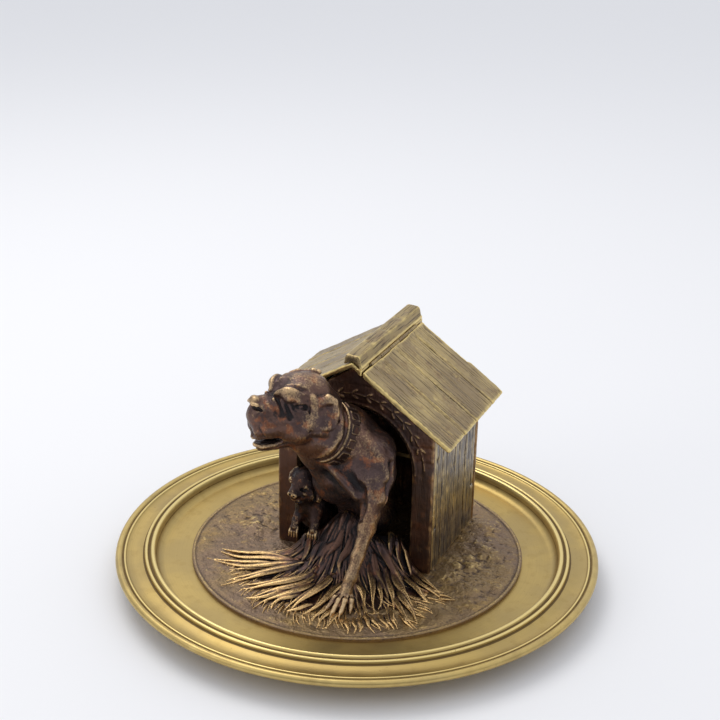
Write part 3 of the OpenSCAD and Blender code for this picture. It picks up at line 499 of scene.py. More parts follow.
def earthHeight(x, y):
    # rises, clods, stipple and pits, level under the wire bead
    r = np.hypot(x, y)
    lift = 0.0
    for ex, ey, er, eh in earth:
        lift = np.maximum(lift, eh * np.maximum(0, 1 - ((x - ex) ** 2 + (y - ey) ** 2) / er ** 2))
    for ex, ey, er, eh in clods:
        wobble = 0.3 * ripple(x, y, 2.6, 5)
        lift = lift + 0.6 * eh * eased(1 - np.hypot(x - ex, y - ey) / er + wobble, 0, 0.8)
    rough = (0.55 * ripple(x, y, 7.0, 1) + 0.4 * ripple(x, y, 3.1, 2)
             + 0.25 * np.abs(ripple(x, y, 1.7, 3)) + 0.16 * ripple(x, y, 1.1, 4))
    pits = eased(ripple(x, y, 2.0, 8), 0.3, 0.9)
    z = plate["top"] + 0.1 + lift * 0.8 + rough * 0.8 + 0.35 - pits * (0.14 + 0.3 * np.minimum(lift, 2.0))
    edge = eased(r, plate["radius"] - 5.0, plate["radius"] - 2.2)
    z = z * (1 - edge) + (plate["top"] + 0.05) * edge
    t = (r - (plate["radius"] - plate["bead"] - 0.15)) / plate["bead"]
    bead = plate["beadRise"] * np.sqrt(np.clip(1 - t * t, 0, 1))
    return np.maximum(z, 10.6) * (bead <= 0) + (plate["top"] + bead) * (bead > 0)


def reliefPlate():
    turns, n = plate["turns"], plate["rings"]
    radii = np.concatenate([np.linspace(0.6, plate["radius"] - 2.4, n),
                            np.linspace(plate["radius"] - 2.2, plate["radius"] - 0.02, plate["beadRings"])])
    a = np.arange(turns) * 2 * math.pi / turns
    x, y = radii[:, None] * np.cos(a), radii[:, None] * np.sin(a)
    z = earthHeight(x, y)
    soft = [sum(earthHeight(x + d * math.cos(k), y + d * math.sin(k)) for k in np.arange(6) * math.pi / 3) / 6
            for d in (1.1, 3.6)]
    wear, deep = (z - soft[0]) / 0.16, (z - soft[1]) / 0.5
    points = np.stack([x, y, z], -1).reshape(-1, 3)
    count, rows = len(points), len(radii)
    rim = np.stack([radii[-1] * np.cos(a), radii[-1] * np.sin(a), np.full(turns, plate["under"])], -1)
    points = np.concatenate([points, rim, [[0, 0, float(z[0].mean())], [0, 0, plate["under"]]]])
    j, k = np.arange(turns), (np.arange(turns) + 1) % turns
    faces = [np.stack([i * turns + j, (i + 1) * turns + j, (i + 1) * turns + k, i * turns + k], -1)
             for i in range(rows)]
    faces = np.concatenate(faces).tolist()
    faces += [(count + turns, int(p), int(q)) for p, q in zip(j, k)]
    faces += [(count + turns + 1, count + int(q), count + int(p)) for p, q in zip(j, k)]
    marks = [np.concatenate([values.reshape(-1), np.zeros(turns + 2)]) for values in (wear, deep)]
    thing = placed("relief_plate", points, faces, "stand", looks["ground"], marks, 70)
    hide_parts("ground_plate")


reliefPlate()

# The dog, shaped in clay from its main masses and then the folds, creases and toes
dog = {"low": (-39, -58, -2), "high": (33, 31, 117), "step": 0.4, "strokes": 0.09, "lumps": 0.22}
head = {"centre": (-13.8, -25.6, 98.2), "forward": (-0.639, -0.769, 0), "near": (0.769, -0.639, 0),
        "up": (0, 0, 1)}
headAxes = np.array([head["forward"], head["near"], head["up"]], np.float32)


def onHead(spots, side=1):
    # head frame: ahead, toward the near side, up; side -1 mirrors to the far side
    return [tuple(np.array(head["centre"]) + (np.array([s[0], s[1] * side, s[2]]) @ headAxes)) + tuple(s[3:])
            for s in spots]


# Chains of balls [x, y, z, radius], each with the softness of its seam
bodyMasses = [
    ([(-10.3, -19.6, 90, 11.4), (-7, -22, 81.5, 13.0)], 3),
    ([(-7, -22, 81.5, 13.0), (-1, -12, 75, 13.6)], 3),
    ([(-10.6, -19.6, 68.5, 8.2), (-15, -31, 79, 6.6)], 4),
    ([(-10.6, -19.6, 68.5, 8.2), (-6.5, -8, 47, 9.0)], 4),
    ([(-10.6, -19.6, 68.5, 8.2), (-1, -12, 75, 13.6)], 4),
    ([(-1, -12, 75, 13.6), (14, -10.4, 68.5, 11.2)], 5),
    ([(14, -10.4, 68.5, 11.2), (13, -12.6, 58, 12.2)], 4),
    ([(13, -12.6, 58, 12.2), (-6.5, -8, 47, 9.0)], 4), ([(-1, -12, 75, 13.6), (2, 12, 63, 12.6)], 5),
    ([(13, -12.6, 58, 12), (2, 12, 63, 11)], 5), ([(2, 12, 63, 12.6), (4, 13, 24, 13.6)], 5),
    ([(-6.5, -8, 47, 9.0), (4, 13, 24, 10)], 5), ([(13, -12.6, 58, 12), (20, -20.6, 50, 6.2)], 4),
    ([(20, -20.6, 50, 6.2), (19.3, -26.6, 36, 4.2)], 3),
    ([(19.3, -26.6, 36, 4.0), (17.9, -33.6, 23.6, 3.0)], 2),
    ([(17.9, -33.6, 23.6, 3.0), (17, -39.4, 14.4, 2.7)], 2),
    ([(17, -39.4, 14.4, 2.7), (15.8, -43.0, 7.4, 3.2)], 2), ([(-3, 2, 42, 5.2), (-4, -1, 6, 3.8)], 3),
    ([(-6.5, -8, 47, 9), (-3, 2, 42, 5.2)], 4)]
headMasses = [
    ([(0, 0, 0, 12.6), (-4, 0, -6, 12)], 3), ([(5, 0, 2, 10.4), (10, 0, 0, 9)], 3),
    ([(12, 0, -4, 9), (21.5, 0, -3.6, 7.8)], 3), ([(21, 0, -3.5, 7.4), (24.4, 0, -4.4, 6.4)], 2),
    ([(9, 0, -16, 6.2), (17, 0, -19.4, 4.2), (24.0, 0, -20.6, 2.7)], 2.5),
    ([(22, 0, 1.2, 3.8), (26.6, 0, 2.6, 3.0)], 2.0), ([(27.0, -0.8, 3.6, 2.3), (27.0, 0.8, 3.6, 2.3)], 1.0)]
# Mirrored: brow, cheek, flew, jowl
headSides = [
    ([(5, 5.8, 5.2, 6), (11.8, 6.6, 6.6, 4.9)], 2.4), ([(2, 6.5, -5, 9), (8, 7, -11, 7.2)], 3),
    ([(14, 6, -8, 6.6), (21, 4.8, -8, 6.3), (25, 2.9, -10.2, 4.2)], 2),
    ([(19.5, 5.2, -10.4, 4), (25.6, 2.2, -13.8, 2.3)], 1.8),
    ([(7.5, 7.8, -13.2, 5.4), (13.5, 7.0, -12.4, 4.6)], 2.4), ([(10, 4, -17.5, 4), (17, 3, -19.8, 2.6)], 2),
    ([(27.2, 1.6, 1.6, 1.9), (25.6, 3.4, 0.6, 2.0), (23.2, 4.4, -0.4, 1.6)], 1.0)]
# Mirrored ridges: brow fold, lids, wrinkles, lip edges
headFolds = [
    ([(17.6, 2.4, 6.4, 1.2), (14.8, 6.0, 8.4, 2.0), (11.4, 8.4, 8.0, 2.3), (9.0, 10.0, 4.6, 2.0),
      (8.8, 10.6, 2.2, 1.2)], 1.6),
    ([(10.8, 9.9, 2.7, 0.8), (7.8, 11.2, 3.2, 0.9), (4.8, 11.6, 1.6, 0.8)], 0.7),
    ([(10.4, 9.8, 0.0, 0.6), (7.2, 11.2, -0.8, 0.8), (4.7, 11.5, -0.2, 0.6)], 0.8),
    ([(11.0, 9.8, -1.6, 0.8), (8.0, 10.9, -3.4, 1.0), (4.6, 11.6, -2.8, 0.8)], 1.0),
    ([(13.8, 8.6, 3.4, 0.8), (12.4, 9.6, -0.6, 0.9), (10.0, 10.6, -5.4, 0.8)], 0.8),
    ([(16.4, 6.8, 4.2, 0.8), (15.2, 8.6, -0.4, 0.9), (13.6, 9.6, -6.4, 0.8)], 0.8),
    ([(19.2, 4.4, 4.4, 0.9), (18.4, 7.0, 0.4, 1.0), (16.8, 8.4, -6.6, 0.9)], 1.0),
    ([(22.0, 4.2, 2.4, 0.9), (21.4, 6.6, -1.8, 1.0), (19.4, 7.8, -6.6, 0.9)], 1.2),
    ([(28.2, 0.8, -15.2, 1.1), (25.6, 4.2, -14.0, 1.2), (21.6, 7.0, -12.8, 1.4), (16.4, 8.8, -11.8, 1.3),
      (13.4, 9.4, -12.0, 1.0)], 1.0),
    ([(27.0, 0.5, -19.3, 1.1), (24.6, 3.4, -19.6, 1.1), (19.0, 5.6, -18.6, 1.2),
      (13.6, 7.9, -15.8, 1.0)], 0.9),
    ([(29.0, 0.6, 3.6, 1.0), (28.9, 2.4, 2.8, 1.0), (27.4, 4.0, 2.6, 0.9)], 0.6)]
# Mirrored cuts: eye socket, wrinkle hollows, crease before the ear, nostril, mouth
headHollows = [
    ([(9.4, 11.2, 1.4, 1.2), (6.4, 12.2, 1.0, 1.3)], 0.9),
    ([(15.4, 9.9, 1.8, 0.5), (13.6, 11.2, -3.4, 0.5)], 2.0),
    ([(4.6, 12.8, 5.0, 0.7), (4.4, 13.8, -3, 0.9), (4.6, 13.6, -11, 0.7)], 1.0),
    ([(29.2, 1.3, 1.0, 0.9), (27.8, 3.4, 1.2, 1.2), (25.6, 5.2, 0.2, 0.8)], 0.5),
    ([(14.8, 9.2, -8.6, 0.6), (12.6, 9.8, -11.4, 0.7)], 1.2),
    ([(28.8, 0, -17.3, 1.0), (24.4, 3.4, -16.6, 1.6), (20.4, 5.8, -15.6, 2.0), (16.4, 7.6, -14.4, 1.4),
      (12.8, 9.0, -13.4, 0.7)], 0.6), ([(26.4, 0, -17.0, 1.5), (19.0, 2.4, -16.0, 1.8)], 0.5),
    ([(18.6, 0, 7.6, 1.7), (14.8, 1.6, 9.6, 1.5), (11, 0.4, 12.4, 1.0)], 2.0),
    ([(16.0, 3.2, 10.2, 0.8), (11.0, 7.4, 11.2, 0.9), (5.6, 10.6, 8.8, 0.8)], 1.6)]
# Mirrored: dip between the folds, back rim, front fold, lower lobe
earForms = [
    ([(1.6, 12.4, 2.8, 2.0), (-2.4, 12.8, 2.4, 2.2), (-5.4, 13.0, 2.6, 2.1)], 2.0),
    ([(-4.8, 13.0, 4.2, 1.8), (-7.8, 13.5, 1.6, 2.2), (-8.8, 13.6, -3.6, 2.1),
      (-7.6, 14.0, -9.6, 2.0)], 1.8),
    ([(2.6, 12.2, 5.2, 1.8), (2.2, 13.5, 0.6, 2.1), (2.0, 13.6, -6.4, 2.0), (1.2, 13.6, -11.6, 2.0)], 1.8),
    ([(-3.6, 13.2, -4.6, 3.4), (-3.0, 13.6, -9.4, 4.0), (-2.6, 13.4, -11.4, 3.6)], 2.6)]
earCuts = [
    ([(-3.2, 17.0, 1.0, 1.0), (-4.0, 17.4, -3.4, 1.6)], 2.6),
    ([(-11.2, 13.2, 0.0, 0.6), (-11.4, 13.2, -5.0, 0.7), (-9.8, 13.8, -11.0, 0.6)], 1.2)]
eyeBall = [([(7.6, 9.7, 1.1, 1.6), (7.7, 9.8, 1.1, 1.6)], 0.25)]
# The far ear folded on the crown, with small lumps beside it
farEar = [
    ([(3.8, -8.2, 9.6, 2.1), (1.2, -8.2, 10.2, 1.9)], 0.9),
    ([(0.6, -8.0, 9.9, 1.3), (-3.6, -6.0, 10.6, 1.2)], 1.0),
    ([(-5.0, -3.8, 11.7, 1.3), (-5.2, -3.7, 11.7, 1.3)], 0.5),
    ([(-7.4, -3.2, 10.9, 1.2), (-7.6, -3.1, 10.9, 1.2)], 0.5)]
noseCleft = [([(28.8, 0, -3, 0.35), (28.6, 0, -14.6, 0.5)], 0.5)]
foldRings = [(0.3, 13.6, 1.1), (-0.05, 13.7, 1.2)]  # share of the neck, radius and thickness
# Ridges on the body: shoulder blade, breast, arm, tendons
dogDetails = [
    ([(4, -19.5, 84.0, 1.8), (12.5, -17.8, 78.6, 3.0), (20.0, -17.6, 70.6, 3.4),
      (23.4, -18.6, 61.5, 3.0)], 4.0),
    ([(-3, -24.0, 66.5, 3.0), (5, -24.8, 60.5, 3.6), (13.0, -24.6, 52.6, 3.6)], 4.0),
    ([(20.4, -22.4, 60, 4.0), (22.0, -24.4, 50.5, 3.4), (20.4, -26.6, 41, 2.6)], 3.4),
    ([(-7.4, -16.6, 60.5, 4.2), (-5, -16.8, 52, 4)], 3.6),
    ([(-9, -22.4, 69.4, 2.2), (-3.4, -25.6, 70.4, 2.4)], 2.6),
    ([(21.2, -29.6, 34, 0.9), (19.4, -36.4, 21.4, 0.8), (17.6, -41.8, 11.4, 0.7)], 1.6),
    ([(17.6, -31.6, 31, 0.8), (16.4, -38.6, 17.4, 0.7), (14.4, -43.6, 8.6, 0.6)], 1.4)]
dogCuts = [
    ([(15.4, -28.2, 57.4, 1.0), (17.6, -27.6, 48.4, 1.2), (16.4, -28.0, 41, 0.8)], 3.4),
    ([(24.4, -14.6, 66, 1.0), (26.0, -17.6, 55, 1.0), (24.0, -21.6, 45.5, 0.9)], 3.4),
    ([(2.4, -26.6, 66.0, 1.0), (9.6, -26.6, 61.4, 1.4), (15.6, -26.2, 55.4, 1.0)], 3.6),
    ([(-3, -23.4, 58, 1.0), (2.4, -23.2, 51.6, 1.2)], 3.4)]
toes = [
    [(14.4, -43.2, 7.2, 1.6), (12.4, -47.6, 6.0, 1.4), (10.6, -52.4, 2.9, 1.1)],
    [(15.6, -44.0, 7.4, 1.6), (15.0, -49.2, 5.8, 1.45), (14.2, -54.6, 2.6, 1.15)],
    [(17.0, -43.6, 7.2, 1.6), (17.8, -48.4, 5.8, 1.4), (18.0, -53.4, 2.7, 1.1)],
    [(18.0, -42.2, 6.6, 1.4), (20.0, -45.6, 5.0, 1.2), (21.2, -49.0, 2.9, 0.95)]]
neckFrom, neckTo = np.array([-7, -22, 81.5]), np.array([-1, -12, 75])


def ringSpots(centre, direction, radius, thick, start, stop, steps=14):
    # a part of a ring round a direction, as a chain
    d = direction / np.linalg.norm(direction)
    side = np.cross(d, [0, 0, 1])
    side /= np.linalg.norm(side)
    up = np.cross(side, d)
    spots = []
    for i in range(steps + 1):
        a = math.radians(start + (stop - start) * i / steps)
        spots.append([*(centre + radius * (math.cos(a) * side + math.sin(a) * up)),
                      thick * (0.55 + 0.45 * math.sin(math.pi * i / steps))])
    return spots


def pressAll(clay, forms, cut=False, side=0):
    # side 1 puts the forms on the head, -1 on its far half, and 0 leaves them in the kennel's frame
    for spots, soft in forms:
        clay.press(limb(*(onHead(spots, side) if side else spots)), soft, cut)


def claws(clay):
    # toes with a knuckle and a claw each, and a cut between neighbours
    up = np.array([0, 0, 1.0])
    for chain in toes:
        clay.press(limb(*chain), 0.7)
        knuckle, before, tip = (np.array(chain[k][:3]) for k in (1, -2, -1))
        out = (tip - before) / np.linalg.norm(tip - before)
        clay.press(limb([*(tip + out * 0.6 + 0.5 * up), 0.75], [*(tip + out * 3.0 - 0.5 * up), 0.25]), 0.25)
        clay.press(limb([*(knuckle + 0.8 * up), 1.3], [*(knuckle + out * 0.8 + 0.6 * up), 1.2]), 0.6)
    for a, b in zip(toes[:-1], toes[1:]):
        middle = [[*((np.array(p[:3]) + np.array(q[:3])) / 2 + up), 0.5] for p, q in zip(a, b)]
        clay.press(limb(*middle), 0.5, True)


def dogClay():
    clay = Clay(dog["low"], dog["high"], dog["step"])
    pressAll(clay, bodyMasses)
    pressAll(clay, headMasses, side=1)
    for side in (1, -1):
        pressAll(clay, headSides, side=side)
    pressAll(clay, dogDetails)
    pressAll(clay, dogCuts, True)
    for side in (1, -1):
        pressAll(clay, headFolds, side=side)
        pressAll(clay, headHollows, True, side)
        pressAll(clay, eyeBall, side=side)
        pressAll(clay, earForms, side=side)
        pressAll(clay, earCuts, True, side)
    pressAll(clay, farEar, side=1)
    pressAll(clay, noseCleft, True, 1)
    along = neckTo - neckFrom
    for share, radius, thick in foldRings:
        clay.press(limb(*ringSpots(neckFrom + along * share, along, radius, thick, -75, 60)), 2.4)
    claws(clay)
    x, y, z = clay.axes()
    strokes = wander(x * 1.1 + 0.25 * z, y * 1.1, z * 0.45, 1.5, 11)
    lumps = wander(x, y, z, 5.2, 12)
    clay.field += (dog["strokes"] * strokes + dog["lumps"] * lumps) * eased(3.0 - np.abs(clay.field), 0, 2)
    clay.field = np.maximum(clay.field, -z)
    return clay


def dogFade(x, y, z):
    # painted shade on the lower breast, the side of the muzzle and the creases by the eye; painted highlight
    # on the shoulder and the crown; the forearm is rubbed
    spots = np.stack([x, y, z], 1) - head["centre"]
    ahead, up = spots @ headAxes[0], spots @ headAxes[2]
    forearm = 0.3 * (1 - eased(z, 34, 46)) * eased(x, 9, 14)
    breast = 0.7 * (1 - eased(z, 56, 74)) * (1 - eased(x, 9, 16))
    muzzle = 0.45 * eased(ahead, 9, 15) * (1 - eased(up, -3, 3)) * (z > 70)
    creases = 0.8 * np.exp(-((ahead - 14.5) / 5) ** 2 - ((up - 0.5) / 4) ** 2)
    shoulder = 0.55 * np.exp(-((x - 10) / 8) ** 2 - ((z - 76) / 7) ** 2) * (y < -6)
    crown = 0.35 * eased(up, 3, 11) * (z > 80)
    return breast + muzzle + creases - shoulder - crown - forearm


dogPiece = cast("dog_cast", dogClay(), "stand", looks["dog"], kennelAt, fade=dogFade)
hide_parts("mother_dog")

# The collar: a band with raised plates
collar = {"share": 0.52, "radius": 15.1, "half": 3.7, "thick": 0.75, "plates": 14, "plateWide": 2.3,
          "plateHigh": 2.7}


def collarClay():
    clay = Clay((-24, -38, 60), (16, 4, 98), 0.36)
    x, y, z = clay.axes()
    along = (neckTo - neckFrom) / np.linalg.norm(neckTo - neckFrom)
    middle = neckFrom + (neckTo - neckFrom) * collar["share"]
    side = np.cross(along, [0, 0, 1])
    side /= np.linalg.norm(side)
    up = np.cross(side, along)
    a, b, c = ((x - middle[0]) * v[0] + (y - middle[1]) * v[1] + (z - middle[2]) * v[2]
               for v in (side, up, along))
    out = np.sqrt(a * a + b * b) - collar["radius"]
    band = np.maximum(np.abs(out) - collar["thick"], np.abs(c) - collar["half"])
    for edge in (-1, 1):
        band = np.minimum(band, np.sqrt(out ** 2 + (c - edge * collar["half"]) ** 2) - 0.8)
    turn = np.arctan2(b, a) * collar["plates"] / (2 * math.pi)
    across = (turn - np.round(turn)) * 2 * math.pi / collar["plates"] * collar["radius"]
    sideways, upright = np.abs(across) - collar["plateWide"], np.abs(c) - collar["plateHigh"]
    raised = np.maximum(np.maximum(sideways, upright), np.abs(out) - 1.35)
    sunk = np.maximum(np.maximum(sideways + 0.7, upright + 0.8), 1.1 - out)
    clay.field = np.minimum(band, np.maximum(raised, -sunk)) + 0.1 * wander(x, y, z, 1.8, 21)
    return clay


collarPiece = cast("dog_collar", collarClay(), "stand", looks["collar"], kennelAt, (0.8, 2.0))

# The puppy
puppy = {"low": (-36, -24, -2), "high": (-5, 14, 55), "step": 0.3, "strokes": 0.1, "lumps": 0.12}
puppyMasses = [
    ([(-22.4, -8.4, 43.4, 7.4), (-22.0, -8.0, 40.0, 7.2)], 2),
    ([(-24.0, -12.6, 40.4, 4.6), (-25.0, -15.2, 39.4, 3.5)], 2.0),
    ([(-23.0, -11.6, 37.0, 4.4), (-23.9, -13.6, 35.0, 2.6)], 1.6),
    ([(-18.4, -10.6, 38.4, 4.6), (-21.0, -11.6, 38.0, 4.4)], 2.0),
    ([(-22, -8, 38, 6), (-20.4, -5.4, 30, 7.4)], 3), ([(-20.4, -5.6, 30, 8.0), (-19, -2.6, 24, 8.6)], 3),
    ([(-19, -2.6, 24, 8), (-15, 4, 17, 7)], 3),
    ([(-23.4, -8.4, 28, 4.0), (-25.4, -13.0, 22.6, 2.5), (-25.2, -15.6, 20.0, 2.1)], 1.6),
    ([(-16.6, -9.4, 28, 4.2), (-14.8, -13.4, 23.0, 2.6), (-14.8, -15.4, 20.4, 2.2)], 1.6),
    ([(-15, 4, 17, 6), (-15, 4, 4, 4.5)], 2)]
puppyDetails = [
    ([(-16.6, -7.6, 50.0, 1.9), (-13.6, -9.4, 45.6, 2.3), (-13.0, -10.8, 40.0, 2.2),
      (-13.8, -11.8, 36.4, 1.5)], 0.9),
    ([(-27.6, -7.0, 48.6, 1.6), (-29.8, -8.6, 46.2, 1.6), (-30.4, -9.6, 43.6, 1.1)], 0.8),
    ([(-22.6, -14.0, 43.4, 1.2), (-19.6, -14.2, 43.6, 1.4), (-17.2, -13.4, 41.4, 1.2)], 0.9),
    ([(-26.4, -13.4, 45.0, 1.1), (-28.4, -12.8, 45.6, 1.2), (-29.4, -11.8, 43.4, 1.0)], 0.8),
    ([(-22.8, -15.2, 41.0, 0.8), (-19.6, -15.4, 40.0, 0.9), (-17.4, -14.2, 39.4, 0.8)], 0.8),
    ([(-27.0, -17.4, 39.6, 1.3), (-24.0, -17.8, 39.2, 1.3)], 0.7),
    ([(-25.4, -17.0, 37.0, 1.3), (-22.6, -16.0, 35.8, 1.0)], 0.7)]
puppyHollows = [
    ([(-21.6, -15.4, 42.2, 0.8), (-19.2, -15.6, 42.0, 0.9)], 0.6),
    ([(-28.4, -14.2, 44.4, 0.8), (-28.8, -13.8, 43.8, 0.8)], 0.5),
    ([(-26.9, -19.2, 39.5, 0.6), (-26.6, -18.4, 39.5, 0.6)], 0.2),
    ([(-24.1, -19.5, 39.1, 0.6), (-24.2, -18.6, 39.1, 0.6)], 0.2),
    ([(-26.4, -18.2, 36.0, 0.6), (-24.6, -17.4, 35.0, 0.9), (-21.6, -15.6, 35.2, 0.6)], 0.4),
    ([(-15.2, -12.4, 46.4, 0.7), (-15.0, -13.2, 41.0, 0.8), (-15.6, -13.0, 36.6, 0.6)], 0.6)]
puppyEyes = [(-20.5, -14.6, 42.1), (-28.1, -13.6, 44.3)]
puppyPaws = [(-25.2, -15.8, 19.6), (-14.8, -15.6, 20.0)]


def puppyClay():
    clay = Clay(puppy["low"], puppy["high"], puppy["step"])
    pressAll(clay, puppyMasses)
    pressAll(clay, puppyDetails)
    pressAll(clay, puppyHollows, True)
    for x0, y0, z0 in puppyEyes:
        clay.press(limb((x0, y0, z0, 0.75), (x0, y0 - 0.05, z0, 0.75)), 0.15)
    for x0, y0, z0 in puppyPaws:
        for k in (-1.5, -0.5, 0.5, 1.5):  # toes
            clay.press(limb((x0 + k, y0 - 0.2, z0 + 0.6, 0.9), (x0 + 1.3 * k, y0 - 1.6, z0 - 1.4, 0.7),
                            (x0 + 1.5 * k, y0 - 2.2, z0 - 4.0, 0.25)), 0.3)
    x, y, z = clay.axes()
    strokes, lumps = wander(x, y, z * 0.5, 1.1, 31), wander(x, y, z, 3.0, 32)
    clay.field += puppy["strokes"] * strokes + puppy["lumps"] * lumps
    clay.field = np.maximum(clay.field, -z)
    return clay


puppyPiece = cast("puppy_cast", puppyClay(), "stand", looks["puppy"], kennelAt, (0.7, 2.2))
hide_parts("puppy")

# The straw: a heap in the doorway that fans out in locks of pointed strands
straw = {"low": (-76, -74, -1.2), "high": (71, 24, 38), "step": 0.37, "reach": 65.0, "inner": 24.0,
         "frontHigh": 9.0, "heapHigh": 31.0, "heap": 16.0, "centreY": -4.0, "seed": 7, "fillers": 190,
         "steep": 60, "tufts": 70, "mounds": ((23, 1, 9, 13, 15), (-20, -9, 7, 6, 6))}
# Each lock of straw: half width, how far it stands up, and its path (x, y) over the plate
locks = [
    (1.9, 1.9, [(-21, -23), (-36, -21), (-52, -22), (-64, -21), (-72, -19)]),
    (1.7, 1.6, [(-19, -23), (-37, -24), (-49, -26), (-61, -25), (-71, -21)]),
    (1.9, 1.8, [(-18, -24), (-30, -28), (-42, -33), (-53, -35), (-66, -33)]),
    (1.2, 1.0, [(-29, -28), (-41, -34), (-49, -38), (-56, -42)]),
    (1.4, 1.0, [(-33, -26), (-48, -29), (-57, -32), (-67, -33)]),
    (2.0, 1.8, [(-15, -24), (-19, -26), (-28, -33), (-38, -40), (-45, -44), (-49, -50)]),
    (1.6, 1.2, [(-17, -26), (-29, -36), (-41, -44), (-48, -53)]),
    (2.0, 1.9, [(-7, -27), (-9, -33), (-16, -40), (-26, -45), (-34, -51), (-42, -55)]),
    (1.4, 1.0, [(-16, -35), (-25, -42), (-35, -47), (-42, -51)]),
    (2.0, 1.9, [(-6, -31), (-7, -37), (-12, -44), (-21, -49), (-28, -55), (-32, -61)]),
    (1.5, 1.2, [(-12, -44), (-22, -53), (-30, -59), (-37, -60)]),
    (1.9, 1.6, [(-4, -37), (-8, -45), (-16, -51), (-22, -57), (-23, -65)]),
    (1.5, 1.2, [(-6, -45), (-13, -52), (-16, -58), (-15, -64)]),
    (2.2, 2.4, [(3, -29), (1, -38), (-2, -47), (-6, -57), (-5, -64)]),
    (1.5, 1.4, [(0, -30), (-1, -40), (-5, -49), (-9, -57), (-10, -63)]),
    (1.3, 1.0, [(2, -51), (-3, -56), (-7, -60), (-9, -63)]),
    (1.8, 1.7, [(9, -32), (7, -43), (4, -53), (1, -61), (1, -66)]),
    (1.4, 1.2, [(10, -46), (8, -54), (7, -61), (8, -66)]),
    (1.4, 1.1, [(13, -48), (12, -56), (11, -62), (11, -67)]),
    (1.3, 1.0, [(17, -50), (16, -57), (16, -62), (14, -66)]),
    (1.8, 1.8, [(-18, -12), (-17, -18), (-17, -24), (-16, -28)]),
    (1.7, 1.8, [(-11, -15), (-12, -21), (-12, -26), (-13, -29)]),
    (1.5, 1.6, [(-6, -17), (-8, -22), (-10, -25), (-11, -28)]),
    (1.7, 1.8, [(-1, -17), (-5, -21), (-7, -25), (-8, -28)]),
    (1.7, 1.6, [(1, -13), (-1, -18), (-3, -22), (-6, -26)]),
    (1.8, 1.6, [(6, -13), (5, -19), (3, -23), (5, -26), (8, -30)]),
    (1.5, 1.4, [(-22, -9), (-22, -13), (-21, -17)]), (1.5, 1.4, [(-18, -10), (-18, -14), (-18, -18)]),
    (1.3, 1.2, [(-14, -9), (-14, -13), (-14, -17)]), (1.8, 1.4, [(-6, -9), (-7, -14), (-9, -18)]),
    (1.8, 1.4, [(-1, -6), (-1, -11), (-3, -17)]), (1.8, 1.4, [(3, -6), (4, -11), (3, -17)]),
    (1.7, 1.4, [(-9, -8), (-11, -12), (-13, -17)]), (1.8, 1.4, [(8, -6), (9, -12), (10, -19)]),
    (2.0, 1.9, [(14, -3), (20, -10), (26, -13), (33, -17), (41, -25), (48, -33)]),
    (1.9, 2.6, [(20, 3), (23, -3), (25, -9), (29, -14)]),
    (1.8, 2.2, [(22, 3), (26, -3), (30, -7), (35, -10)]),
    (1.9, 2.8, [(28, 6), (31, 1), (33, -4), (37, -9)]), (1.6, 2.0, [(24, 6), (29, 0), (33, -3), (39, -7)]),
    (1.8, 1.8, [(31, 0), (40, -4), (48, -9), (55, -15)]),
    (1.6, 1.6, [(34, -4), (43, -11), (50, -15), (56, -17)]),
    (1.6, 1.7, [(34, -12), (44, -19), (49, -22), (56, -24)]),
    (1.9, 2.0, [(27, -12), (34, -20), (41, -27), (49, -34)]),
    (1.8, 2.0, [(25, -15), (31, -24), (36, -32), (41, -40)]), (1.5, 1.5, [(24, -18), (29, -30), (32, -40)]),
    (1.7, 1.7, [(17, -17), (23, -28), (29, -38), (32, -44)]), (1.6, 1.5, [(34, -21), (45, -34), (55, -44)]),
    (1.5, 1.3, [(34, -28), (42, -37), (49, -43), (55, -47)]), (1.5, 1.4, [(16, -29), (23, -37), (28, -44)]),
    (1.2, 1.0, [(38, -39), (42, -45), (46, -51)]), (1.2, 1.0, [(43, -40), (49, -45), (53, -48)]),
    (1.8, 1.7, [(17, -13), (22, -18), (29, -26), (36, -36)]), (1.2, 0.9, [(22, -55), (25, -61), (27, -65)]),
    (1.1, 0.8, [(25, -53), (28, -59), (30, -64)]), (1.2, 0.9, [(28, -52), (30, -58), (33, -63)]),
    (1.2, 0.9, [(28, -48), (33, -54), (38, -59)]), (1.2, 0.9, [(31, -47), (36, -52), (41, -57)]),
    (1.2, 0.9, [(34, -44), (40, -50), (44, -55)]), (1.2, 0.9, [(37, -43), (42, -49), (46, -54)])]


def strawReach(a):
    # how far the fan reaches in a direction, in degrees
    a = np.asarray(a) % 360
    out = np.where(a < 180, 0, eased((a - 180) / 16) * eased((360 - a) / 22))
    return straw["inner"] + (straw["reach"] - straw["inner"]) * out


def strawHeight(x, y):
    # the heap's height under the strands
    r = np.hypot(x, y - straw["centreY"])
    a = np.degrees(np.arctan2(y - straw["centreY"], x)) % 360
    t = np.clip(r / strawReach(a - 9 * (r / 60) ** 2), 0, 1)
    z = (straw["frontHigh"] * (1 - t) ** 1.3
         + (straw["heapHigh"] - straw["frontHigh"]) * np.exp(-(r / straw["heap"]) ** 2) - 0.6)
    for cx, cy, rx, ry, high in straw["mounds"]:
        z = z + high * np.exp(-((x - cx) / rx) ** 2 - ((y - cy) / ry) ** 2)
    return z


def strand(clay, x, y, lift, thick):
    # one pointed stalk along a path over the heap
    t = np.linspace(0, 1, len(x))
    width = thick * (1 - t) ** 0.55 * (0.6 + 0.4 * np.sin(math.pi * np.minimum(t * 1.4 + 0.15, 1))) + 0.15
    z = np.maximum(strawHeight(x, y), 0.15) + lift
    clay.press(limb(*np.stack([x, y, z, width], 1)), 0.3)


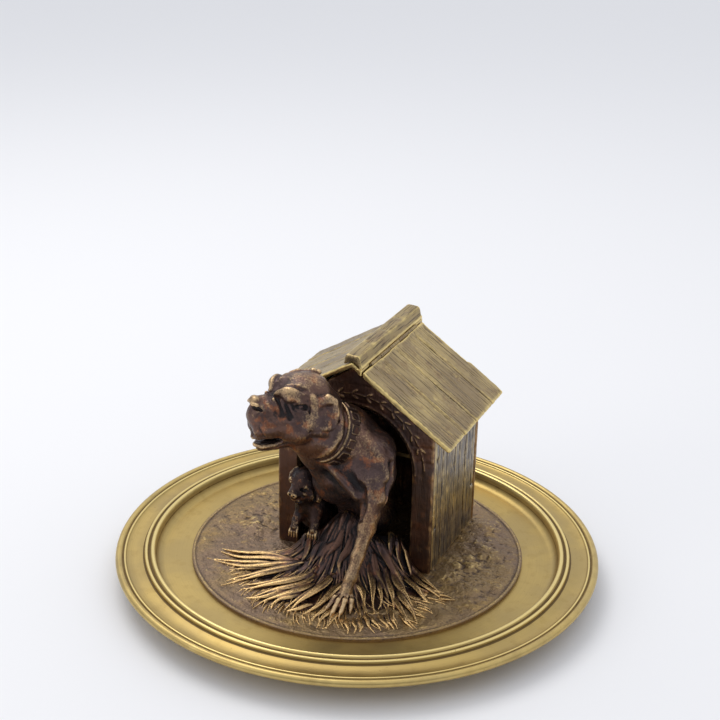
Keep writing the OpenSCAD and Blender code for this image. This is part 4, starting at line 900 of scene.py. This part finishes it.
def stray(clay, a, r0, r1, thick, bow, lift, steps=8, hook=0.0):
    # a stalk that runs outward from the middle, bowed and hooked by some degrees
    t = np.linspace(0, 1, steps + 1)
    r = r0 + (r1 - r0) * t
    heading = np.radians(a + bow * (r / 60) ** 2 + hook * t ** 3)
    x, y = r * np.cos(heading), straw["centreY"] + r * np.sin(heading)
    strand(clay, x, y, lift * np.sin(math.pi * t), thick)


def lock(clay, rest, wide, rise, path):
    # a bundle that swells and then closes to a point, with strands laid over it
    path = np.array(path, float)
    for _ in range(2):
        cut = np.empty((2 * len(path), 2))
        cut[0], cut[-1] = path[0], path[-1]
        cut[1:-1:2] = path[:-1] * 0.75 + path[1:] * 0.25
        cut[2:-1:2] = path[:-1] * 0.25 + path[1:] * 0.75
        path = cut
    run = np.concatenate([[0], np.cumsum(np.hypot(*np.diff(path, axis=0).T))])
    steps = max(6, int(run[-1] / 3.0))
    phase, sway = rest.uniform(0, 1), rest.uniform(0.3, 1.0)

    def laid(start, end, off, lift, radius):
        t = np.linspace(start, end, steps + 1)
        x, y = (np.interp(t * run[-1], run, path[:, n]) for n in (0, 1))
        ahead = np.stack([np.gradient(x), np.gradient(y)])
        ahead /= np.maximum(np.hypot(*ahead), 1e-6)
        belly = 0.3 + 0.7 * np.sin(math.pi * np.minimum(t * 1.15 + 0.1, 1))
        swell = belly * np.maximum(1 - t, 0.002) ** 0.4
        aside = off * swell + sway * np.sin(2 * math.pi * (t * 1.1 + phase)) * eased(t, 0, 0.3)
        x, y = x - ahead[1] * aside, y + ahead[0] * aside
        z = (np.maximum(strawHeight(x, y), 0.15) + rise * np.sin(math.pi * np.minimum(0.1 + t, 1)) ** 0.8
             + lift * swell)
        thick = radius * (0.35 + 0.65 * swell) * (1 - t * 0.5) + 0.08
        clay.press(limb(*np.stack([x, y, z, thick], 1)), 0.25)

    laid(0, 1, 0, -0.55 * wide, 0.72 * wide)
    for k in range(7):
        across = (k - 3) / 3
        laid(rest.uniform(0, 0.1), 1 - rest.uniform(0.0, 0.14) * abs(across),
             across * wide * 0.95 + rest.uniform(-0.15, 0.15),
             0.36 * wide * (1 - 1.1 * across * across) + rest.uniform(-0.1, 0.25),
             wide * rest.uniform(0.18, 0.3))


def strawClay():
    clay = Clay(straw["low"], straw["high"], straw["step"])
    x, y, z = clay.axes()
    heap = z - strawHeight(x, y) + 0.35 + 0.25 * wander(x, y, z, 2.6, 41)
    clay.field = np.minimum(clay.field, heap * 0.7)  # a slope is nearer than its height says
    rest = np.random.default_rng(straw["seed"])
    for k in range(straw["fillers"]):  # low strands that fill between the locks
        a = rest.uniform(186, 354)
        r0 = rest.uniform(8, 40)
        stray(clay, a, r0, min(r0 + rest.uniform(14, 30), float(strawReach(a)) * rest.uniform(0.86, 1.0)),
              rest.uniform(0.35, 0.6), rest.uniform(2, 12), rest.uniform(0, 0.4), 7, rest.uniform(-8, 8))
    for k in range(straw["steep"]):  # strands on the steep heap
        a = rest.uniform(200, 345)
        stray(clay, a, rest.uniform(2, 8), rest.uniform(18, 28), rest.uniform(0.4, 0.7),
              rest.uniform(2, 12), 0.6, 8)
    for k in range(straw["tufts"]):  # short tufts along the edge
        a = 190 + 160 * (k + rest.uniform(-0.5, 0.5)) / straw["tufts"]
        end = float(strawReach(a)) * rest.uniform(0.93, 1.02)
        stray(clay, a, end - rest.uniform(6, 12), end, rest.uniform(0.4, 0.7), 9, 0.5, 5, rest.uniform(-3, 3))
    for wide, rise, path in locks:
        lock(clay, rest, wide, rise, path)
    clay.field = np.maximum(clay.field, -0.05 - z)
    return clay


def strawFade(x, y, z):
    # painted shade: the straw is darker toward the doorway
    return 0.75 * (1 - eased(np.hypot(x * 0.8, y - straw["centreY"]), 14, 38))


strawPiece = cast("straw_cast", strawClay(), "stand", looks["straw"], kennelAt, (0.8, 2.6), strawFade)
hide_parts("straw_bed")


# Boards: each panel keeps its solid's shape, with worn edges, grain and joints cut into it
def boardClay(node, step, room=3.0, far=2.6):
    # the signed distance to a CAD node's surface, cut off at far
    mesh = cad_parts[node].data
    points = np.zeros(len(mesh.vertices) * 3, np.float32)
    mesh.vertices.foreach_get("co", points)
    points = points.reshape(-1, 3) / mm
    mesh.calc_loop_triangles()
    corners = np.zeros(len(mesh.loop_triangles) * 3, np.int32)
    mesh.loop_triangles.foreach_get("vertices", corners)
    clay = Clay(points.min(0) - room, points.max(0) + room, step, far)
    grid = openvdb.FloatGrid.createLevelSetFromPolygons(
        np.ascontiguousarray((points - clay.low) / step, dtype=np.float32),
        triangles=np.ascontiguousarray(corners.reshape(-1, 3).astype(np.uint32)),
        transform=openvdb.createLinearTransform(voxelSize=1.0), halfWidth=far / step)
    grid.copyToArray(clay.field)
    clay.field *= step
    return clay


# the hinge of the lid: five knuckles in a row along Y, which belong to the two halves of the roof by turns
hinge = {"x": 7.95, "z": 118.956, "from": -6.6, "long": 12.0, "gap": 0.25, "radius": 0.9, "bore": 0.47,
         "sides": 40}


def knuckles(name, which, body, look):
    # the hinge's tubes, each turned about the pin
    sides = hinge["sides"]
    points, faces, a = [], [], np.arange(sides) * math.pi / (sides / 2)
    for k in which:
        y0 = hinge["from"] + k * hinge["long"] + hinge["gap"]
        y1 = hinge["from"] + (k + 1) * hinge["long"] - hinge["gap"]
        out, bore = hinge["radius"], hinge["bore"]
        rings = [(bore, y0), (out - 0.12, y0), (out, y0 + 0.12),
                 (out, y1 - 0.12), (out - 0.12, y1), (bore, y1)]
        first = len(points)
        for r, y in rings:
            points += [(hinge["x"] + r * math.cos(t), y, hinge["z"] + r * math.sin(t)) for t in a]
        for n in range(len(rings)):
            m = (n + 1) % len(rings)
            here, there = first + n * sides, first + m * sides
            faces += [(here + j, there + j, there + (j + 1) % sides, here + (j + 1) % sides)
                      for j in range(sides)]
    return placed(name, points, faces, body, look, sharp=40)


def woodGrain(along, across, seed):
    # how deep the grain is cut: fine lines that waver, with a few long checks
    drift = 1.6 * ripple(along, across, 26.0, seed) + 0.5 * ripple(along, across * 2, 9.0, seed + 1)
    lines = ripple(across + drift, along * 0.02, 0.85, seed + 2)
    broad = ripple(across + drift, along * 0.03, 2.4, seed + 3)
    check = eased(ripple(across + drift * 0.6, along * 0.035, 1.5, seed + 4), 0.62, 0.9)
    return 0.10 * eased(lines, -0.1, 0.9) + 0.07 * (broad + 1) + 0.28 * check


def joint(across, along, at, seed, wide=0.45, depth=0.6):
    # a wavering joint between two boards
    wobble = 0.28 * ripple(along, along * 0 + at, 12.0, seed)
    gap = np.abs(across - at - wobble)
    return depth * eased(1 - gap / (wide * 1.6), 0, 0.85)


def worn(clay, depth, amount=0.55, seed=51):
    # cuts the grain, then wears the edges by an uneven amount; the hinge stays as it is
    x, y, z = clay.axes()
    before = clay.field.copy()
    near = eased(2.4 - np.abs(clay.field), 0, 1.2)
    clay.field = clay.field + 0.06 + depth * near
    chips = 0.5 + 0.5 * wander(x, y, z, 4.0, seed) + 0.25 * wander(x, y, z, 1.3, seed + 1)
    clay.field = np.maximum(clay.field, clay.softened(0.8) - 0.02 + amount * 0.35 * np.clip(chips, 0, 1.2))
    keep = eased(np.hypot(x - hinge["x"], z - hinge["z"]) + 0 * y, 1.8, 3.4)
    clay.field = before + 0.05 + (clay.field - before - 0.05) * keep
    return clay


def panel(name, node, step, depth, body, look, amount=0.55, reach=(0.9, 2.4), own=(), trim=None,
          skin=None, fade=None):
    # a CAD board's level set with skin joined on, depth cut in, room for its own knuckles and trim cut off
    clay = boardClay(node, step)
    if skin is not None:
        clay.field = np.minimum(clay.field, skin(*clay.axes()))
    worn(clay, depth(*clay.axes()), amount)
    for k in own:  # room for the hinge's own tubes
        y0, y1 = hinge["from"] + k * hinge["long"], hinge["from"] + (k + 1) * hinge["long"]
        x, y, z = clay.axes()
        bar = np.maximum(np.hypot(x - hinge["x"], z - hinge["z"]) - 0.82,
                         np.abs(y - (y0 + y1) / 2) - (y1 - y0) / 2)
        clay.field = np.maximum(clay.field, -bar)
    if trim is not None:
        clay.field = np.maximum(clay.field, trim(*clay.axes()))
    thing = cast(name, clay, body, looks[look], (0, 0, 0), reach, fade)
    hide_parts(node)
    return thing


walls = {"step": 0.5, "joints": (-3.6, 2.9, 9.2, 14.8, 20.9, 27.0, 36.9, 42.0, 47.4)}
roofs = {"step": 0.4, "pitch": 34.2, "peakX": 2.0, "peakZ": 123.0, "joints": (4.8, 21.8, 46.0),
         "fine": (-6.0, 13.5, 34.5, 55.5)}


def wallDepth(x, y, z):
    # upright boards of uneven width, each with its own grain and a slightly different face
    board = np.zeros_like(y)
    cut = 0.0
    for k, at in enumerate(walls["joints"]):
        board = board + (y > at)
        cut = cut + joint(y, z, at, 60 + k, 0.4, 0.55)
    return cut + woodGrain(z + 37 * board, y + 0.02 * z, 70) + 0.12 * ripple(x, board * 5, 1.5, 79)


def onSlope(x, z, side=1):
    # how far down a slope a point lies, and how far out of its face
    s, c = math.sin(math.radians(roofs["pitch"])), math.cos(math.radians(roofs["pitch"]))
    x, z = (x - roofs["peakX"]) * side, z - roofs["peakZ"]
    return x * c - z * s, x * s + z * c


def roofDepth(side):
    def depth(x, y, z):
        down = onSlope(x, z, side)[0]
        board = np.zeros_like(y)
        cut = 0.0
        for k, at in enumerate(roofs["joints"]):
            board = board + (y > at)
            cut = cut + joint(y, down, at, 80 + k, 0.4, 0.62)
        for k, at in enumerate(roofs["fine"]):
            board = board + (y > at)
            cut = cut + joint(y, down, at, 90 + k, 0.24, 0.32)
        keep = eased(down, 9.5, 12.5)  # nothing is cut near the hinge
        return (cut + woodGrain(down + 41 * board, y, 100 + int(side))) * keep

    return depth


def boardDepth(x, y, z):
    # grain runs up the posts and across the gable
    x, z = x - kennelAt[0], z - kennelAt[2]
    post = eased(64.0 - z, -1.0, 1.0)
    upright = woodGrain(z, x, 110) * post
    level = woodGrain(x, z, 120) * (1 - post)
    return upright + level + 0 * y


# carved leaves over the arch, in place of anything else
ornament = {"archRadius": 38.2, "springZ": 54.5, "leaves": 13, "from": 22.0, "to": 158.0, "long": 4.6,
            "wide": 1.55, "rise": 0.62}


def leafRise(x, z):
    # pairs of veined leaves on a stem that follows the arch, and a rim along its edge
    x, z = x - kennelAt[0], z - kennelAt[2] - ornament["springZ"]
    best = 0.0 * x + 0.0 * z
    for k in range(ornament["leaves"]):
        a = math.radians(
            ornament["from"] + (ornament["to"] - ornament["from"]) * k / (ornament["leaves"] - 1))
        for tilt in (-0.62, 0.62):
            lean = a + math.pi / 2 + tilt
            centre = ornament["archRadius"] + 1.5 * math.copysign(1, tilt)
            cx, cz = centre * math.cos(a), centre * math.sin(a)
            u = (x - cx) * math.cos(lean) + (z - cz) * math.sin(lean)
            v = -(x - cx) * math.sin(lean) + (z - cz) * math.cos(lean)
            leaf = 1 - (u / ornament["long"] * 2) ** 2 - np.abs(v / ornament["wide"] * 2) ** 1.4
            vein = 0.35 * np.exp(-(v / 0.22) ** 2)
            best = np.maximum(best, ornament["rise"] * eased(leaf, 0, 0.55) * (1 - vein))
    r = np.hypot(x, z)
    stem = 0.4 * np.exp(-((r - ornament["archRadius"]) / 0.38) ** 2) * (z > 4)
    edge = 0.3 * np.exp(-((r - 33.2) / 0.5) ** 2) * (z > 0)
    return np.maximum(np.maximum(best, stem), edge)


def frontBoard():
    clay = boardClay("kennel_front", 0.38)
    x, y, z = clay.axes()
    face = eased(kennelAt[1] + 1.2 - y, 0, 0.8)
    rise = leafRise(x, z)
    gouges = 0.3 * np.abs(wander(x, 0 * x, z, 1.6, 131)) * eased(z, 72, 78)
    worn(clay, boardDepth(x, y, z) + gouges * face, 0.6)
    clay.field = clay.field - rise * face
    thing = cast("front_board", clay, "stand", looks["board"], (0, 0, 0), (0.8, 2.4))
    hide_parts("kennel_front")


def backDepth(x, y, z):
    # upright boards across the back
    board = np.zeros_like(x)
    cut = 0.0
    for k, at in enumerate((-28, -14, 1, 15, 29)):
        at = at + float(kennelAt[0]) + 0.3
        board = board + (x > at)
        cut = cut + joint(x, z, at, 140 + k, 0.4, 0.4)
    return cut + woodGrain(z + 29 * board, x, 150) + 0 * y


frontBoard()
panel("back_board", "kennel_back", 0.5, backDepth, "stand", "board")
panel("right_wall", "kennel_right_wall", walls["step"], wallDepth, "stand", "wall")
panel("left_wall", "kennel_left_wall", walls["step"], wallDepth, "stand", "wall")


def rearTrim(x, y, z):
    # the rear edge keeps its full length only in the lower third, where it bulges
    down = onSlope(x, z)[0]
    back = 2.4 * (1 - eased(down, 39.0, 42.0)) + 1.6 * eased(down, 50, 64) ** 2
    back = back + 0.15 * ripple(down, 0 * y, 6, 171)
    front = 0.35 + 0.3 * ripple(down, 0 * y, 5.0, 172)
    return np.maximum(y - (63.75 - back), (-16.95 + front) - y)


def outerSkin(x, y, z):
    # the slope's outer layer is whole where the screws end under it
    down, out = onSlope(x, z)
    sheet = np.maximum(out, -1.7 - out)
    return np.maximum(sheet, np.maximum(np.abs(down - 37) - 25, np.abs(y - 23.4) - 38.5))


def rivetSkin(x, y, z):
    # the cap is whole over its rivets
    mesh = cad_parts["cap_rivets"].data
    spots = np.array([v.co for v in mesh.vertices]) / mm
    best = None
    for y0 in sorted({round(float(v), 0) for v in spots[spots[:, 2] > spots[:, 2].max() - 0.3, 1]}):
        tip = spots[(np.abs(spots[:, 1] - y0) < 2) & (spots[:, 2] > spots[:, 2].max() - 0.3)].mean(0)
        now = limb((tip[0], tip[1], tip[2] - 3.0, 1.3), (tip[0], tip[1], tip[2] - 0.4, 1.15))[2](x, y, z)
        best = now if best is None else np.minimum(best, now)
    return best


def capDepth(x, y, z):
    return woodGrain(y, x * 0.7 + z, 160) * 0.4


def capFade(x, y, z):
    # painted shade: the cap's front face is dark
    return 1.6 * (y < y.min() + 0.8)


panel("right_slope", "roof_right_slope", roofs["step"], roofDepth(1), "stand", "roofRight",
      0.8, own=(0, 2, 4), trim=rearTrim, skin=outerSkin)
panel("left_slope", "roof_lid", roofs["step"], roofDepth(-1), "lid", "roofLeft", 0.8,
      own=(1, 3))
knuckles("fixed_knuckles", (0, 2, 4), "stand", looks["roofRight"])
knuckles("lid_knuckles", (1, 3), "lid", looks["roofLeft"])
panel("cap_moulding", "ridge_cap", 0.3, capDepth, "lid", "cap", 0.3, (0.8, 2.0),
      skin=rivetSkin, fade=capFade)

# Solids that show as they are
plain = dict.fromkeys((
    "corner_posts", "panel_screws", "roof_cleats", "roof_screws", "cap_rivets", "well_shelf", "shelf_ledges",
    "ledge_screws", "shelf_screws", "tie_studs", "tie_washers", "tie_nuts", "figure_screws"), "fixing")
for node, look in {**plain, "hinge_pin": "pin", "ink_pot": "glaze"}.items():
    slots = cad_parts[node].data.materials
    for k in range(len(slots)):
        slots[k] = looks[look]
print("pieces made")

# Floor, lights and camera
stage = {"floor": (238, 238, 240), "half": 12, "sky": (0.9, 0.92, 0.96, 1), "room": (0.2, 0.2, 0.21, 1),
         "key": 4.1, "fill": 1.4}
half = stage["half"]
floorMesh = bpy.data.meshes.new("paper_floor")
floorMesh.from_pydata([(-half, -half, 0), (half, -half, 0), (half, half, 0), (-half, half, 0)], [],
                      [(0, 1, 2, 3)])
floorMesh.materials.append(Look("paperFloor").done(Base_Color=paint(*stage["floor"]), Roughness=0.9))
floor = bpy.data.objects.new("paper_floor", floorMesh)
bpy.context.scene.collection.objects.link(floor)

world = bpy.data.worlds.new("studio")
bpy.context.scene.world = world
world.use_nodes = True
# Bright from above and behind, dim toward the room in front
sky = Look("sky", world.node_tree)
toward = sky.node("ShaderNodeTexCoord", out=0)
share = (sky.axis(toward, 2) * 1.1 + sky.axis(toward, 1) * 0.35).ramp(-0.25, 0.75)
sky.fill(world.node_tree.nodes["Background"], {0: sky.mixed(share, stage["room"], stage["sky"]), 1: 1.0})


def facing(right, up, back, place):
    # a matrix for something that looks along minus back
    return Matrix([(right[k], up[k], back[k], place[k]) for k in range(3)] + [(0, 0, 0, 1)])


def softLight(name, place, size, power, colour):
    # a square lamp aimed at a point just above the dish
    light = bpy.data.lights.new(name, "AREA")
    light.shape = "RECTANGLE"
    light.size = light.size_y = size
    light.energy, light.color = power, colour
    lamp = bpy.data.objects.new(name, light)
    bpy.context.scene.collection.objects.link(lamp)
    back = (np.array(place) - np.array((0, 0, 0.05))).astype(float)
    back /= np.linalg.norm(back)
    side = np.cross((0, 0, 1), back)
    side /= np.linalg.norm(side)
    lamp.matrix_world = facing(side, np.cross(back, side), back, place)


softLight("key_light", (-0.5, 0.25, 1.1), 0.7, stage["key"], (1.0, 0.97, 0.93))
softLight("fill_light", (-0.7, -0.9, 0.5), 0.5, stage["fill"], (1.0, 0.96, 0.9))

view = {"place": (0.2543, -0.5890, 0.3822), "right": (0.9145, 0.4041, 0.0186),
        "up": (-0.1699, 0.3418, 0.9243), "ahead": (-0.3671, 0.8485, -0.3812), "lens": 70.0, "sensor": 36.0}
cameraData = bpy.data.cameras.new("view")
cameraData.lens = view["lens"]
cameraData.sensor_width = view["sensor"]
cameraData.clip_end = 50  # metres, past the far end of the floor
camera = bpy.data.objects.new("view", cameraData)
bpy.context.scene.collection.objects.link(camera)
camera.matrix_world = facing(view["right"], view["up"], [-v for v in view["ahead"]], view["place"])
bpy.context.scene.camera = camera
bpy.context.scene.view_settings.view_transform = "Standard"

print("scene ready")
